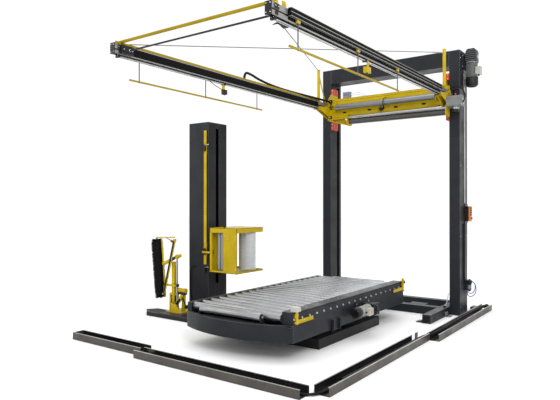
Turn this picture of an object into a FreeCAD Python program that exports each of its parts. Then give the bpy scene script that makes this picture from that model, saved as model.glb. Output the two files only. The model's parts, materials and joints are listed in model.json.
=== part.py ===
"""Turntable pallet wrapper: powered roller turntable, film mast, film cut unit and top-sheet gantry.

Millimetres, +Z up. The origin is the turntable's rotation centre on the floor. Pallets travel along Y,
the roller axles run along X, the film mast stands on the -X side and the top-sheet gantry at the +Y end.
"""
import FreeCAD, Part
import math
import os
import re
import Sketcher

doc = FreeCAD.newDocument("turntable_pallet_wrapper")
sheet = doc.addObject("Spreadsheet::Sheet", "Sheet")

SIZES = {
    # turntable
    "table_radius": 1525,
    "table_right": 737,
    "table_left": 657,
    "table_bottom": 200,
    "skirt_top": 370,
    "skirt_wall": 8,
    "box_width": 140,
    "box_top": 495,
    "thin_width": 60,
    "thin_top": 466,
    "wall": 6,
    "plate": 12,
    # powered rollers
    "roller_pitch": 138.5,
    "roller_radius": 38,
    "roller_tube": 3,
    "roller_height": 430,
    "roller_gap": 3,
    "axle_radius": 7,
    "end_roller_step": 92,
    "end_roller_half": 408,
    "running_gap": 0.1,
    # floor frame and slewing bearing
    "base_half_x": 662,
    "base_half_y": 738,
    "base_height": 110,
    "base_beam": 120,
    "ring_radius": 450,
    "ring_bore": 380,
    "ring_height": 50,
    # film mast
    "mast_face_x": -1550,
    "mast_face_y": -83,
    "mast_size_x": 375,
    "mast_size_y": 383,
    "mast_top": 2700,
    "mast_sole": 90,
    "mast_slot": 63,
    "mast_slot_low": 70,
    "ski_height": 55,
    "ski_front": -620,
    "ski_width": 250,
    "ski_tip": -2360,
    # film carriage
    "film_near": -1430,
    "film_far": -960,
    "film_front": -175,
    "film_back": 400,
    "film_low": 614,
    "film_high": 1223,
    "film_head": 66,
    "film_foot": 26,
    "guide_roller": 27,
    "film_roll_radius": 118,
    "film_core": 38,
    # film cut and wipe unit
    "clamp_x": -1861,
    "clamp_y": -380,
    "clamp_top": 783,
    "brush_radius": 84,
    # top-sheet gantry
    "gantry_x": 237,
    "column_half": 1029,
    "column_x": 148,
    "column_y": 330,
    "column_front": 1875,
    "gantry_top": 3690,
    "gantry_beam": 220,
    "foot_size": 114,
    "foot_front": 1143,
    "foot_back": 2500,
    # top-sheet carriage and booms
    "boom_half": 950,
    "boom_tip": -2330,
    "boom_back": 1850,
    "boom_low": 3023,
    "boom_wide": 62,
    "boom_tall": 102,
    "guide_gap": 0.5,
    "boom_fit": 0.5,
    "sheet_beam_y": 1730,
    "sheet_beam_depth": 80,
    # floor cable ducts
    "duct_wide": 146,
    "duct_tall": 80,
    "duct_wall": 4,
    "duct_x": 1476,
    "duct_y": -2086,
}
for row, (alias, size) in enumerate(SIZES.items(), start=1):
    sheet.set(f"A{row}", alias.replace("_", " "))
    sheet.set(f"B{row}", str(size))
    sheet.setAlias(f"B{row}", alias)
doc.recompute()

ROLLER_COUNT = 20
ALIAS = re.compile(r"\b(" + "|".join(SIZES) + r")\b")
TURNED = {"x": FreeCAD.Rotation(FreeCAD.Vector(0, 1, 0), 90),
          "y": FreeCAD.Rotation(FreeCAD.Vector(1, 0, 0), -90),
          "z": FreeCAD.Rotation()}
PLANE = {"x": "YZ_Plane", "y": "XZ_Plane", "z": "XY_Plane"}
nodes = []
ARC_SHARE = 0.45


def formula(text):
    """A size as an expression on the sheet's cells."""
    return ALIAS.sub(r"Sheet.\1", str(text))


def bind(thing, prop, text):
    thing.setExpression(prop, formula(text))


def value(text):
    """The number that an expression has now."""
    return float(sheet.evalExpression(formula(text)))


def place(thing, at):
    for letter, text in zip("xyz", at):
        bind(thing, f"Placement.Base.{letter}", text)
    return thing


def box(name, low, size):
    """Block from its lowest corner."""
    block = doc.addObject("Part::Box", name)
    for prop, text in zip(("Length", "Width", "Height"), size):
        bind(block, prop, text)
    return place(block, low)


def rod(name, start, radius, length, axis="z"):
    """Cylinder that starts at a point and runs along +X, +Y or +Z."""
    cylinder = doc.addObject("Part::Cylinder", name)
    cylinder.Placement = FreeCAD.Placement(FreeCAD.Vector(), TURNED[axis])
    bind(cylinder, "Radius", radius)
    bind(cylinder, "Height", length)
    return place(cylinder, start)


def strut(name, start, end, radius):
    """Cylinder from one point to another, in any direction."""
    first = FreeCAD.Vector(*[value(text) for text in start])
    last = FreeCAD.Vector(*[value(text) for text in end])
    turn = FreeCAD.Rotation(FreeCAD.Vector(0, 0, 1), last - first)
    cylinder = doc.addObject("Part::Cylinder", name)
    cylinder.Placement = FreeCAD.Placement(first, turn)
    spans = [f"(({b}) - ({a}))^2" for a, b in zip(start, end)]
    bind(cylinder, "Radius", radius)
    bind(cylinder, "Height", f"sqrt({' + '.join(spans)})")
    return place(cylinder, start)


def fuse(name, *pieces):
    joined = doc.addObject("Part::MultiFuse", name)
    joined.Shapes = list(pieces)
    return joined


def cut(name, body, *tools):
    result = doc.addObject("Part::Cut", name)
    result.Base = body
    result.Tool = tools[0] if len(tools) == 1 else fuse(name + "_tools", *tools)
    return result


def common(name, first, second):
    result = doc.addObject("Part::Common", name)
    result.Base = first
    result.Tool = second
    return result


def ring(name, start, outer, inner, length, axis="z"):
    """Round tube or washer along an axis."""
    return cut(name, rod(name + "_outside", start, outer, length, axis),
               rod(name + "_inside", start, inner, length, axis))


def draw_loop(sketch, points):
    """Closed outline of straight lines with every corner held by its two distances from the origin."""
    corners = [FreeCAD.Vector(value(u), value(v), 0) for u, v in points]
    first = sketch.GeometryCount
    count = len(points)
    for index in range(count):
        line = Part.LineSegment(corners[index], corners[(index + 1) % count])
        sketch.addGeometry(line, False)
    for index in range(count):
        following = first + (index + 1) % count
        sketch.addConstraint(Sketcher.Constraint("Coincident", first + index, 2, following, 1))
    for index, (u, v) in enumerate(points):
        for kind, text, number in (("DistanceX", u, corners[index].x), ("DistanceY", v, corners[index].y)):
            held = sketch.addConstraint(Sketcher.Constraint(kind, -1, 1, first + index, 1, number))
            bind(sketch, f"Constraints[{held}]", text)


def profile(name, axis, loops, length, at):
    """PartDesign body: outlines in a plane across the axis, padded along +axis from a point.

    Outlines across x are drawn in (y, z), across z in (x, y) and across y in (x, z).
    """
    body = doc.addObject("PartDesign::Body", name)
    plane = [item for item in body.Origin.OriginFeatures if item.Role == PLANE[axis]][0]
    sketch = body.newObject("Sketcher::SketchObject", name + "_outline")
    sketch.AttachmentSupport = [(plane, "")]
    sketch.MapMode = "FlatFace"
    for points in loops:
        draw_loop(sketch, points)
    pad = body.newObject("PartDesign::Pad", name + "_pad")
    pad.Profile = sketch
    pad.Reversed = axis == "y"
    bind(pad, "Length", length)
    return place(body, at)


def rectangle(u, v, wide, tall):
    return [(u, v), (f"{u} + {wide}", v), (f"{u} + {wide}", f"{v} + {tall}"), (u, f"{v} + {tall}")]


def node(name, thing):
    """Gives a sub-part its own label, which names its file."""
    thing.Label = name
    nodes.append(thing)
    return thing


def hose(name, points, radius):
    """Round hose along straight runs joined by tangent arcs, as large as the runs allow."""
    corners = [FreeCAD.Vector(*[value(text) for text in point]) for point in points]
    edges = []
    start = corners[0]
    bends = []
    for before, corner, after in zip(corners, corners[1:], corners[2:]):
        setback = ARC_SHARE * min((corner - before).Length, (after - corner).Length)
        back = (before - corner).normalize()
        ahead = (after - corner).normalize()
        bend = setback / math.tan((math.pi - back.getAngle(ahead)) / 2)
        inward = (back + ahead).normalize()
        middle = corner + inward * (math.hypot(bend, setback) - bend)
        edges.append(Part.LineSegment(start, corner + back * setback).toShape())
        edges.append(Part.Arc(corner + back * setback, middle, corner + ahead * setback).toShape())
        start = corner + ahead * setback
        bends.append(round(bend))
    edges.append(Part.LineSegment(start, corners[-1]).toShape())
    path = Part.Wire(edges)
    circle = Part.Circle(corners[0], corners[1] - corners[0], value(radius))
    pipe = path.makePipeShell([Part.Wire([circle.toShape()])], True, False)
    drift = pipe.Volume / (path.Length * math.pi * value(radius) ** 2) - 1
    print(f"{name}: length {path.Length:.0f}, bend radii {bends}, volume off by {drift:.4%}")
    tube = doc.addObject("Part::Feature", name)
    tube.Shape = pipe
    return tube


# ---------------------------------------------------------------- floor frame and slewing bearing

def turntable_base():
    """Welded floor frame: outer beams, two cross beams, a centre drum and four levelling pads."""
    outer_x, outer_y = "base_half_x", "base_half_y"
    frame = cut("base_frame",
                box("base_block", ("-base_half_x", "-base_half_y", "0"),
                    (f"2 * {outer_x}", f"2 * {outer_y}", "base_height")),
                box("base_inside", ("base_beam - base_half_x", "base_beam - base_half_y", "-1"),
                    (f"2 * ({outer_x} - base_beam)", f"2 * ({outer_y} - base_beam)", "base_height + 2")))
    pieces = [frame]
    for side in (-1, 1):
        pieces.append(box(f"base_cross_{side + 1}",
                          (f"{side} * 260 - base_beam / 2", "5 - base_half_y", "0"),
                          ("base_beam", f"2 * {outer_y} - 10", "base_height")))
    drum = rod("base_drum", ("0", "0", "0"), "ring_radius", "base_height")
    bolts = [rod(f"base_bolt_hole_{turn}", (f"415 * cos({turn} * 45)", f"415 * sin({turn} * 45)",
                                            "base_height - 30"),
                 "7", "31") for turn in range(8)]
    return node("turntable_base", cut("turntable_base", fuse("base_welded", *pieces, drum), *bolts))


def slewing_ring():
    """Fixed outer race of the slewing bearing, bolted on the drum."""
    race = ring("race", ("0", "0", "base_height"), "ring_radius", "ring_bore + running_gap", "ring_height")
    bolts = [rod(f"race_hole_{turn}", (f"415 * cos({turn} * 45)", f"415 * sin({turn} * 45)",
                                       "base_height - 1"),
                 "7", "ring_height + 2") for turn in range(8)]
    return node("slewing_ring", cut("slewing_ring", race, *bolts))


def table_gearmotor():
    """Flat-mounted gearmotor between the frame and the mast that turns the table."""
    low = "20"
    casing = box("table_gearbox", ("-base_half_x - 190", "140", low), ("188", "180", "130"))
    motor = rod("table_motor", ("-base_half_x - 96", "320", "85"), "58", "240", "y")
    fan = rod("table_motor_fan", ("-base_half_x - 96", "560", "85"), "62", "60", "y")
    foot = box("table_motor_foot", ("-base_half_x - 190", "140", "0"), ("188", "180", low))
    shaft = rod("table_drive_shaft", ("-base_half_x - 96", "230", "150"), "22", "30")
    return node("table_gearmotor", fuse("table_gearmotor", casing, motor, fan, foot, shaft))


# ---------------------------------------------------------------- turntable

def axle_place(index):
    """Distance along Y of a full roller's axle."""
    return f"({index} - {(ROLLER_COUNT - 1) / 2}) * roller_pitch"


END_ROLLER_Y = f"{(ROLLER_COUNT - 1) / 2} * roller_pitch + end_roller_step"


def disc_slab(name, low, tall, radius):
    """Round slab with its two sides cut off along the side frames."""
    disc = rod(name + "_disc", ("0", "0", low), radius, tall)
    slab = box(name + "_slab", ("-table_left", f"-{radius}", low),
               ("table_left + table_right", f"2 * {radius}", tall))
    return common(name, disc, slab)


def table_frame():
    """Platform: floor plate, curved end skirts, end trays, cross beams, thin side frame and hub."""
    shell = cut("skirt", disc_slab("skirt_outer", "table_bottom", "skirt_top - table_bottom",
                                   "table_radius"),
                rod("skirt_inner", ("0", "0", "table_bottom - 1"), "table_radius - skirt_wall",
                    "skirt_top - table_bottom + 2"))
    inner = "table_radius - skirt_wall + 1"
    floor = common("table_floor", disc_slab("floor_disc", "table_bottom", "plate", inner),
                   box("floor_limit", ("-table_left", "-table_radius", "table_bottom"),
                       ("table_left + table_right - box_width", "2 * table_radius", "plate")))
    pieces = [shell, floor]
    tray_disc = disc_slab("tray_disc", "skirt_top - plate", "plate", inner)
    for side in (-1, 1):
        low = "-table_radius" if side < 0 else "1380"
        tray_limit = box(f"tray_limit_{side + 1}", ("-table_left", low, "skirt_top - plate"),
                         ("table_left + table_right", "table_radius - 1380", "plate"))
        pieces.append(common(f"tray_{side + 1}", tray_disc, tray_limit))
        edge = "-1380" if side < 0 else "1374"
        pieces.append(box(f"tray_riser_{side + 1}", ("-table_left + 10", edge, "table_bottom + plate - 1"),
                          ("table_left + table_right - box_width - 12", "wall",
                           "skirt_top - table_bottom - plate")))
    for index, along in enumerate((-900, -340, 340, 900)):
        pieces.append(box(f"cross_beam_{index}", ("-table_left + 10", f"{along} - 40",
                                                  "table_bottom + plate - 1"),
                          ("table_left + table_right - box_width - 12", "80", "140")))
    thin = "sqrt((table_radius - skirt_wall)^2 - table_left^2)"
    thin_outline = [("-table_left", "table_bottom"), ("-table_left + thin_width", "table_bottom"),
                    ("-table_left + thin_width", "thin_top"), ("-table_left", "thin_top")]
    side = profile("thin_side", "y", [thin_outline], f"2 * {thin}", ("0", f"-{thin}", "0"))
    pieces.append(side)
    hub = rod("hub_spigot", ("0", "0", "base_height + 15"), "ring_bore", "table_bottom - base_height - 14")
    lip = rod("hub_flange", ("0", "0", "base_height + ring_height + 3"), "ring_radius",
              "table_bottom - base_height - ring_height - 2")
    pieces += [hub, lip]
    for index in range(2):
        for side_x in (-1, 1):
            at = f"({END_ROLLER_Y}) * {2 * index - 1} - 15"
            start = "end_roller_half + 4" if side_x > 0 else "-end_roller_half - 12"
            pieces.append(box(f"end_bearing_{index}_{side_x + 1}", (start, at, "skirt_top - plate"),
                              ("8", "30", "roller_height + 14 - skirt_top + plate")))
    welded = fuse("table_welded", *pieces)
    bores = axle_bores("frame", "-table_left - 1", "thin_width + 2")
    for index in range(2):
        bores.append(rod(f"end_bore_{index}", ("-end_roller_half - 13",
                                               f"({END_ROLLER_Y}) * {2 * index - 1}", "roller_height"),
                         "axle_radius", "2 * end_roller_half + 26", "x"))
    return node("table_frame", cut("table_frame", welded, *bores))


def axle_bores(name, start_x, length):
    return [rod(f"{name}_bore_{index}", (start_x, axle_place(index), "roller_height"), "axle_radius",
                length, "x")
            for index in range(ROLLER_COUNT)]


def table_side_right():
    """Box-section side frame that houses the roller chain, with a hanging bracket under it."""
    half = "sqrt((table_radius - skirt_wall)^2 - table_right^2)"
    low_x = "table_right - box_width"
    outer = rectangle(low_x, "table_bottom", "box_width", "box_top - table_bottom")
    inner = rectangle(f"{low_x} + wall", "table_bottom + wall", "box_width - 2 * wall",
                      "box_top - table_bottom - 2 * wall")
    beam = profile("chain_box", "y", [outer, inner], f"2 * {half}", ("0", f"-{half}", "0"))
    lids = [box(f"chain_box_lid_{index}", (f"{low_x} + 1", at, "table_bottom + 1"),
                ("box_width - 2", "wall", "box_top - table_bottom - 2"))
            for index, at in enumerate((f"-{half}", f"{half} - wall"))]
    hanger = box("side_hanger", ("table_right - 1", "-600", "table_bottom - 15"), ("34", "150", "125"))
    gap = box("side_hanger_gap", ("table_right + 5", "-590", "table_bottom - 16"), ("30", "130", "127"))
    solid = fuse("chain_box_closed", beam, *lids, cut("side_hanger_bent", hanger, gap))
    return node("table_side_right", cut("table_side_right", solid, *axle_bores("box", f"{low_x} - 1",
                "box_width + 2")))


def roller_axles():
    """Fixed axles of all rollers, with their bolt heads on the outside of both side frames."""
    pieces = []
    for index in range(ROLLER_COUNT):
        at = axle_place(index)
        pieces.append(rod(f"axle_{index}", ("-table_left", at, "roller_height"), "axle_radius",
                          "table_left + table_right", "x"))
        pieces.append(rod(f"axle_head_{index}", ("table_right", at, "roller_height"), "9", "6", "x"))
        pieces.append(rod(f"axle_nut_{index}", ("-table_left - 6", at, "roller_height"), "9", "6", "x"))
    for index in range(2):
        pieces.append(rod(f"end_axle_{index}", ("-end_roller_half - 16",
                                                f"({END_ROLLER_Y}) * {2 * index - 1}",
                                                "roller_height"),
                                                "axle_radius", "2 * end_roller_half + 32", "x"))
    return node("roller_axles", fuse("roller_axles", *pieces))


def roller(name, half, middle_x, at_y):
    """Steel tube with a bearing disc in each end, open along its axle."""
    start = f"{middle_x} - ({half})"
    length = f"2 * ({half})"
    tube = ring(name + "_tube", (start, at_y, "roller_height"), "roller_radius",
                "roller_radius - roller_tube",
                length, "x")
    discs = [ring(f"{name}_disc_{index}", (disc_x, at_y, "roller_height"),
                  "roller_radius - roller_tube + 1",
                  "axle_radius + running_gap", "plate", "x")
             for index, disc_x in enumerate((start, f"{start} + {length} - plate"))]
    return node(name, fuse(name, tube, *discs))


def rollers():
    half = "(table_left + table_right - thin_width - box_width) / 2 - roller_gap"
    middle = "(table_right - box_width - table_left + thin_width) / 2"
    for index in range(ROLLER_COUNT):
        roller(f"roller_{index + 1:02d}", half, middle, axle_place(index))
    for index, name in enumerate(("end_roller_near", "end_roller_far")):
        roller(name, "end_roller_half", "0", f"({END_ROLLER_Y}) * {2 * index - 1}")


def conveyor_gearmotor():
    """Gearmotor on the chain side of the turntable that drives the rollers."""
    axis_x, axis_z = "table_right + 84", "318"
    plate = box("drive_plate", ("table_right", "-60", "235"), ("12", "330", "170"))
    gearbox = box("drive_gearbox", ("table_right + 10", "95", "250"), ("140", "150", "135"))
    motor = rod("drive_motor", (axis_x, "-150", axis_z), "60", "250", "y")
    fan = rod("drive_fan", (axis_x, "-225", axis_z), "66", "78", "y")
    terminal = box("drive_terminals", (f"{axis_x} + 40", "-60", f"{axis_z} - 43"), ("62", "105", "80"))
    hub = rod("drive_hub", ("table_right + 149", "170", axis_z), "38", "22", "x")
    return node("conveyor_gearmotor", fuse("conveyor_gearmotor", plate, gearbox, motor, fan, terminal, hub))


def sensor_brackets():
    """Photocell bracket at each end of the chain-side frame."""
    pieces = []
    for side in (-1, 1):
        low = "-1300" if side < 0 else "990"
        pieces.append(box(f"sensor_bar_{side + 1}", ("table_right + 7", low, "385"), ("6", "310", "36")))
        pieces.append(box(f"sensor_foot_{side + 1}", ("table_right", f"{side * 1290} - 20", "440"),
                          ("8", "40", "46")))
        pieces.append(box(f"sensor_post_{side + 1}", ("table_right + 7", f"{side * 1290} - 14", "380"),
                          ("16", "28", "124")))
        pieces.append(box(f"sensor_head_{side + 1}", ("table_right - 45", f"{side * 1280} - 35",
                                                      "box_top + 8"),
                          ("78", "70", "44")))
    return node("sensor_brackets", fuse("sensor_brackets", *pieces))


# ---------------------------------------------------------------- film mast

def mast_base_frame():
    """Low floor frame from the turntable to the mast: pointed front beam, rear sole and link plate."""
    front = "ski_front"
    back = "ski_front + ski_width"
    tip = [("ski_tip", f"{front} + 125"), ("ski_tip + 150", front), ("-base_half_x", front),
           ("-base_half_x", back), ("ski_tip + 100", back)]
    ski = profile("ski", "z", [tip], "ski_height", ("0", "0", "0"))
    sole = box("mast_sole_block", ("mast_face_x - mast_size_x - 60", "mast_face_y - 40", "0"),
               ("-base_half_x - mast_face_x + mast_size_x + 60", "130", "mast_sole"))
    sole_back = box("mast_sole_back", ("mast_face_x - mast_size_x - 60",
                                       "mast_face_y + mast_size_y - 90", "0"),
                    ("mast_size_x + 260", "130", "mast_sole"))
    link = box("mast_link", ("mast_face_x - mast_size_x - 60", "ski_front + 10", "0"),
               ("mast_size_x + 100", "mast_face_y + mast_size_y - ski_front", "ski_height + 5"))
    plate = box("mast_foot_plate", ("mast_face_x - mast_size_x - 40", "mast_face_y - 35", "mast_sole - 14"),
                ("mast_size_x + 80", "mast_size_y + 70", "14"))
    welded = fuse("mast_base_welded", ski, sole, sole_back, link, plate)
    holes = [rod(f"mast_anchor_hole_{index}", (f"mast_face_x - mast_size_x - 20 + {x} * (mast_size_x + 40)",
                                               f"mast_face_y - 18 + {y} * (mast_size_y + 36)", "-1"), "9",
                 "mast_sole + 2") for index, (x, y) in enumerate(((0, 0), (1, 0), (0, 1), (1, 1)))]
    return node("mast_base_frame", cut("mast_base_frame", welded, *holes))


def mast_column():
    """Folded sheet column with a lift slot in the face that looks at the turntable."""
    low = "mast_sole"
    outer = rectangle("mast_face_x - mast_size_x", "mast_face_y", "mast_size_x", "mast_size_y")
    inner = rectangle("mast_face_x - mast_size_x + wall", "mast_face_y + wall", "mast_size_x - 2 * wall",
                      "mast_size_y - 2 * wall")
    shell = profile("mast_shell", "z", [outer, inner], f"mast_top - {low}", ("0", "0", low))
    cap = box("mast_cap", ("mast_face_x - mast_size_x + 1", "mast_face_y + 1", "mast_top - 7"),
              ("mast_size_x - 2", "mast_size_y - 2", "wall"))
    slot = box("mast_slot_cut", ("mast_face_x - wall - 1", "mast_slot_low", "420"),
               ("wall + 2", "mast_slot", "mast_top - 500"))
    gland = ring("mast_gland", ("mast_face_x - 262", "mast_face_y - 12", "661"), "16", "8", "14", "y")
    lane = "mast_face_y - 12"
    route = (("mast_face_x - 262", "mast_face_y - 2", "661"), ("mast_face_x - 262", "mast_face_y - 62",
                                                               "656"),
             ("mast_face_x - 276", "mast_face_y - 58", "582"), ("mast_face_x - 318", lane, "500"),
             ("mast_face_x - 346", lane, "372"), ("mast_face_x - 350", lane, "230"),
             ("mast_face_x - 350", f"{lane} + 4", f"{low} + 1"))
    cable = hose("mast_cable", route, "5")
    return node("mast_column", fuse("mast_column", cut("mast_shell_slotted", shell, slot), cap, gland,
                                    cable))


def mast_switch_rail():
    """Rail on the mast's front face with the upper and lower limit switches of the film carriage."""
    rail = box("switch_rail", ("mast_face_x - 78", "mast_face_y - 14", "700"), ("52", "14", "1880"))
    pieces = [rail]
    for index, level in enumerate(("2300", "590")):
        pieces.append(box(f"switch_body_{index}", ("mast_face_x - 70", "mast_face_y - 34", level),
                          ("36", "34", "78")))
        pieces.append(rod(f"switch_lever_{index}", ("mast_face_x - 36", "mast_face_y - 24",
                                                    f"{level} + 55"),
                          "4", "60", "x"))
    return node("mast_switch_rail", fuse("mast_switch_rail", *pieces))


def film_carriage():
    """Pre-stretch carriage: slotted back block, head and foot trays, film door and trip arm."""
    wide = "film_far - film_near"
    deep = "film_back - film_front"
    head = box("film_head", ("film_near", "film_front", "film_high - film_head"), (wide, deep, "film_head"))
    foot = box("film_foot_tray", ("film_near", "film_front", "film_low"), (wide, deep, "film_foot"))
    back = box("film_back_plate", ("film_near - 12", "film_front + 5", "film_low"),
               ("14", f"{deep} - 10", "film_high - film_low"))
    tongue = box("film_tongue", ("mast_face_x - 40", "mast_slot_low + 2", "film_low + 120"),
                 ("film_near - mast_face_x + 30", "mast_slot - 4", "340"))
    shoe = box("film_shoe", ("mast_face_x - 60", "mast_slot_low - 50", "film_low + 120"),
               ("wall + 40", "mast_slot + 100", "340"))
    bar = box("film_edge_bar", ("film_near", "film_front", "film_low + 20"), ("26", "26",
              "film_high - film_low - 60"))
    door = box("film_door", ("film_near + 232", "film_front + 4", "film_low + 20"),
               (f"{wide} - 236", "6", "film_high - film_low - 60"))
    spindle = rod("film_spindle", ("film_far - 135", "film_back - 180", "film_low + 20"),
                  "film_core - running_gap",
                  "film_high - film_low - 60")
    trip = box("film_trip_arm", ("mast_face_x - 66", "mast_face_y - 58", "film_low + 250"),
               ("film_near - mast_face_x + 60", "14", "26"))
    trip_root = box("film_trip_root", ("film_near - 12", "film_front + 5", "film_low + 240"), ("14",
                    "60", "46"))
    knob = rod("film_knob", ("film_near + 210", "film_front + 60", "film_high - 5"), "22", "32")
    welded = fuse("film_carriage_welded", head, foot, back, tongue, shoe, bar, door, spindle, trip,
                  trip_root, knob)
    bores = [rod(f"guide_bore_{index}", (at, "film_front + 70", "film_low + 10"), "10 + running_gap",
                 "film_high - film_low - 46") for index, at in enumerate(GUIDE_ROLLERS)]
    return node("film_carriage", cut("film_carriage", welded, *bores))


GUIDE_ROLLERS = ("film_near + 112", "film_near + 171")


def guide_rollers():
    """Two vertical rollers that stretch the film."""
    for index, at in enumerate(GUIDE_ROLLERS):
        name = f"stretch_roller_{index + 1}"
        drum = rod(name + "_drum", (at, "film_front + 70", "film_low + film_foot + 2"), "guide_roller",
                   "film_high - film_low - film_head - film_foot - 4")
        journal = rod(name + "_journal", (at, "film_front + 70", "film_low + 12"), "10",
                      "film_high - film_low - film_head + 2")
        node(name, fuse(name, drum, journal))


def film_roll():
    """Stretch film roll on the carriage's spindle."""
    at = ("film_far - 135", "film_back - 180", "film_low + film_foot + 2")
    return node("film_roll", ring("film_roll", at, "film_roll_radius", "film_core",
                                  "film_high - film_low - film_head - film_foot - 4"))


# ---------------------------------------------------------------- film cut and wipe unit

def clamp_stand():
    """Base plate, crank box, square post, pivot rod and pneumatic cylinder of the cut unit."""
    floor = "ski_height + 5"
    plate = box("clamp_plate", ("clamp_x - 125", "clamp_y - 130", floor), ("290", "270", "12"))
    crank = box("clamp_box", ("clamp_x - 100", "clamp_y - 50", floor), ("85", "100", "250"))
    post = box("clamp_post", ("clamp_x - 82", "clamp_y - 26", floor), ("52", "52",
               f"clamp_top - 40 - ({floor})"))
    pivot = rod("clamp_rod", ("clamp_x", "clamp_y", floor), "14", f"clamp_top + 62 - ({floor})")
    collar = rod("clamp_collar", ("clamp_x", "clamp_y", floor), "24", "60")
    tie = box("clamp_tie", ("clamp_x - 32", "clamp_y - 12", "clamp_top - 90"), ("22", "24", "30"))
    cylinder = strut("clamp_cylinder", ("clamp_x + 20", "clamp_y - 60", "150"),
                     ("clamp_x + 112", "clamp_y - 20", "270"), "24")
    cylinder_rod = strut("clamp_cylinder_rod", ("clamp_x + 6", "clamp_y - 66", "132"),
                         ("clamp_x + 130", "clamp_y - 12", "294"), "9")
    lug = box("clamp_cylinder_lug", ("clamp_x - 14", "clamp_y - 82", f"{floor} + 6"), ("40", "32", "80"))
    motor = rod("clamp_rotary", ("clamp_x + 20", "clamp_y + 30", "345"), "36", "135", "x")
    motor_post = box("clamp_rotary_post", ("clamp_x + 80", "clamp_y + 10", floor), ("40", "40", "285"))
    hoses = [hose(f"clamp_hose_{index}", (("clamp_x + 104", "clamp_y - 22", "262"),
                                          (f"clamp_x + {140 + 12 * index}", "clamp_y - 40", "270"),
                                          (f"clamp_x + {172 + 16 * index}", "clamp_y - 36",
                                           f"{215 - 10 * index}"),
                                          (f"clamp_x + {170 + 12 * index}", "clamp_y - 10",
                                           f"{150 - 10 * index}"),
                                          (f"clamp_x + {128 + 8 * index}", "clamp_y + 26",
                                           f"{110 - 6 * index}"),
                                          (f"clamp_x + {100 + 6 * index}", "clamp_y + 34", "130")), "5")
             for index in range(2)]
    return node("clamp_stand", fuse("clamp_stand", plate, crank, post, pivot, collar, tie, cylinder,
                                    cylinder_rod,
                                    lug, motor, motor_post, *hoses))


BRUSH_TOP = ("clamp_x - 414", "clamp_y", "1045")
BRUSH_FOOT = ("clamp_x - 330", "clamp_y", "222")
CLAMP_EYE_X = "clamp_x - 205"
CLAMP_EYE_Z = "291"
CLAMP_PLANE = "clamp_y - 61"


def wiper_arm():
    """Frame that swings about the upright rod, with the film brush and the clamp arm's pivot plate."""
    hub = rod("wiper_hub", ("clamp_x", "clamp_y", "clamp_top + 8"), "30", "46")
    arm = strut("wiper_tube", ("clamp_x - 262", "clamp_y", "clamp_top - 78"),
                ("clamp_x - 20", "clamp_y", "clamp_top + 26"), "20")
    knob = strut("wiper_knob", ("clamp_x + 14", "clamp_y", "clamp_top + 32"),
                 ("clamp_x + 72", "clamp_y", "clamp_top + 56"), "24")
    bar = strut("wiper_bar", ("clamp_x - 312", "clamp_y", "1055"), ("clamp_x - 232", "clamp_y", "240"), "9")
    top = strut("wiper_top", ("clamp_x - 416", "clamp_y", "1065"), ("clamp_x - 60", "clamp_y", "1084"), "8")
    core = strut("wiper_core", ("clamp_x - 416", "clamp_y", "1070"), ("clamp_x - 328", "clamp_y", "205"),
                 "12")
    foot = strut("wiper_foot", ("clamp_x - 330", "clamp_y", "222"), ("clamp_x - 230", "clamp_y", "243"),
                 "8")
    brush = strut("wiper_brush", BRUSH_TOP, BRUSH_FOOT, "brush_radius")
    lower_hub = rod("wiper_lower_hub", ("clamp_x", "clamp_y", "400"), "30", "36")
    link = box("wiper_link", (f"{CLAMP_EYE_X} - 20", "clamp_y - 44", "402"), ("225", "12", "32"))
    elbow = box("wiper_elbow", ("clamp_x - 14", "clamp_y - 44", "402"), ("28", "30", "32"))
    drop = box("wiper_drop", (f"{CLAMP_EYE_X} - 20", "clamp_y - 44", "266"), ("40", "12", "168"))
    pin = rod("wiper_pin", (CLAMP_EYE_X, "clamp_y - 78", CLAMP_EYE_Z), "8", "40", "y")
    bore = rod("wiper_bore", ("clamp_x", "clamp_y", "380"), "14 + running_gap", "480")
    joined = fuse("wiper_joined", hub, arm, knob, bar, top, core, foot, brush, lower_hub, link, elbow, drop)
    return node("wiper_arm", fuse("wiper_arm", cut("wiper_bored", joined, bore), pin))


def clamp_arm():
    """Slanted film clamp arm with the red grip at its top."""
    foot, head = (CLAMP_EYE_X, CLAMP_PLANE, CLAMP_EYE_Z), ("clamp_x + 8", CLAMP_PLANE, "1052")
    eye = rod("clamp_eye", (CLAMP_EYE_X, f"{CLAMP_PLANE} - 12", CLAMP_EYE_Z), "20", "24", "y")
    first = strut("clamp_bar", foot, head, "9")
    second = strut("clamp_bar_back", (f"{CLAMP_EYE_X} + 20", CLAMP_PLANE, "290"),
                   ("clamp_x + 24", CLAMP_PLANE, "1046"), "8")
    head_block = box("clamp_head", ("clamp_x - 4", f"{CLAMP_PLANE} - 12", "1030"), ("40", "24", "36"))
    grip = rod("clamp_grip", ("clamp_x - 44", CLAMP_PLANE, "1026"), "13", "48", "x")
    bore = rod("clamp_eye_bore", (CLAMP_EYE_X, f"{CLAMP_PLANE} - 20", CLAMP_EYE_Z), "8 + running_gap",
               "40", "y")
    return node("clamp_arm", cut("clamp_arm", fuse("clamp_arm_joined", eye, first, second, head_block,
                                                   grip), bore))


# ---------------------------------------------------------------- top-sheet gantry

LEFT_INNER = "gantry_x - column_half + column_x / 2"
RIGHT_INNER = "gantry_x + column_half - column_x / 2"


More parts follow.
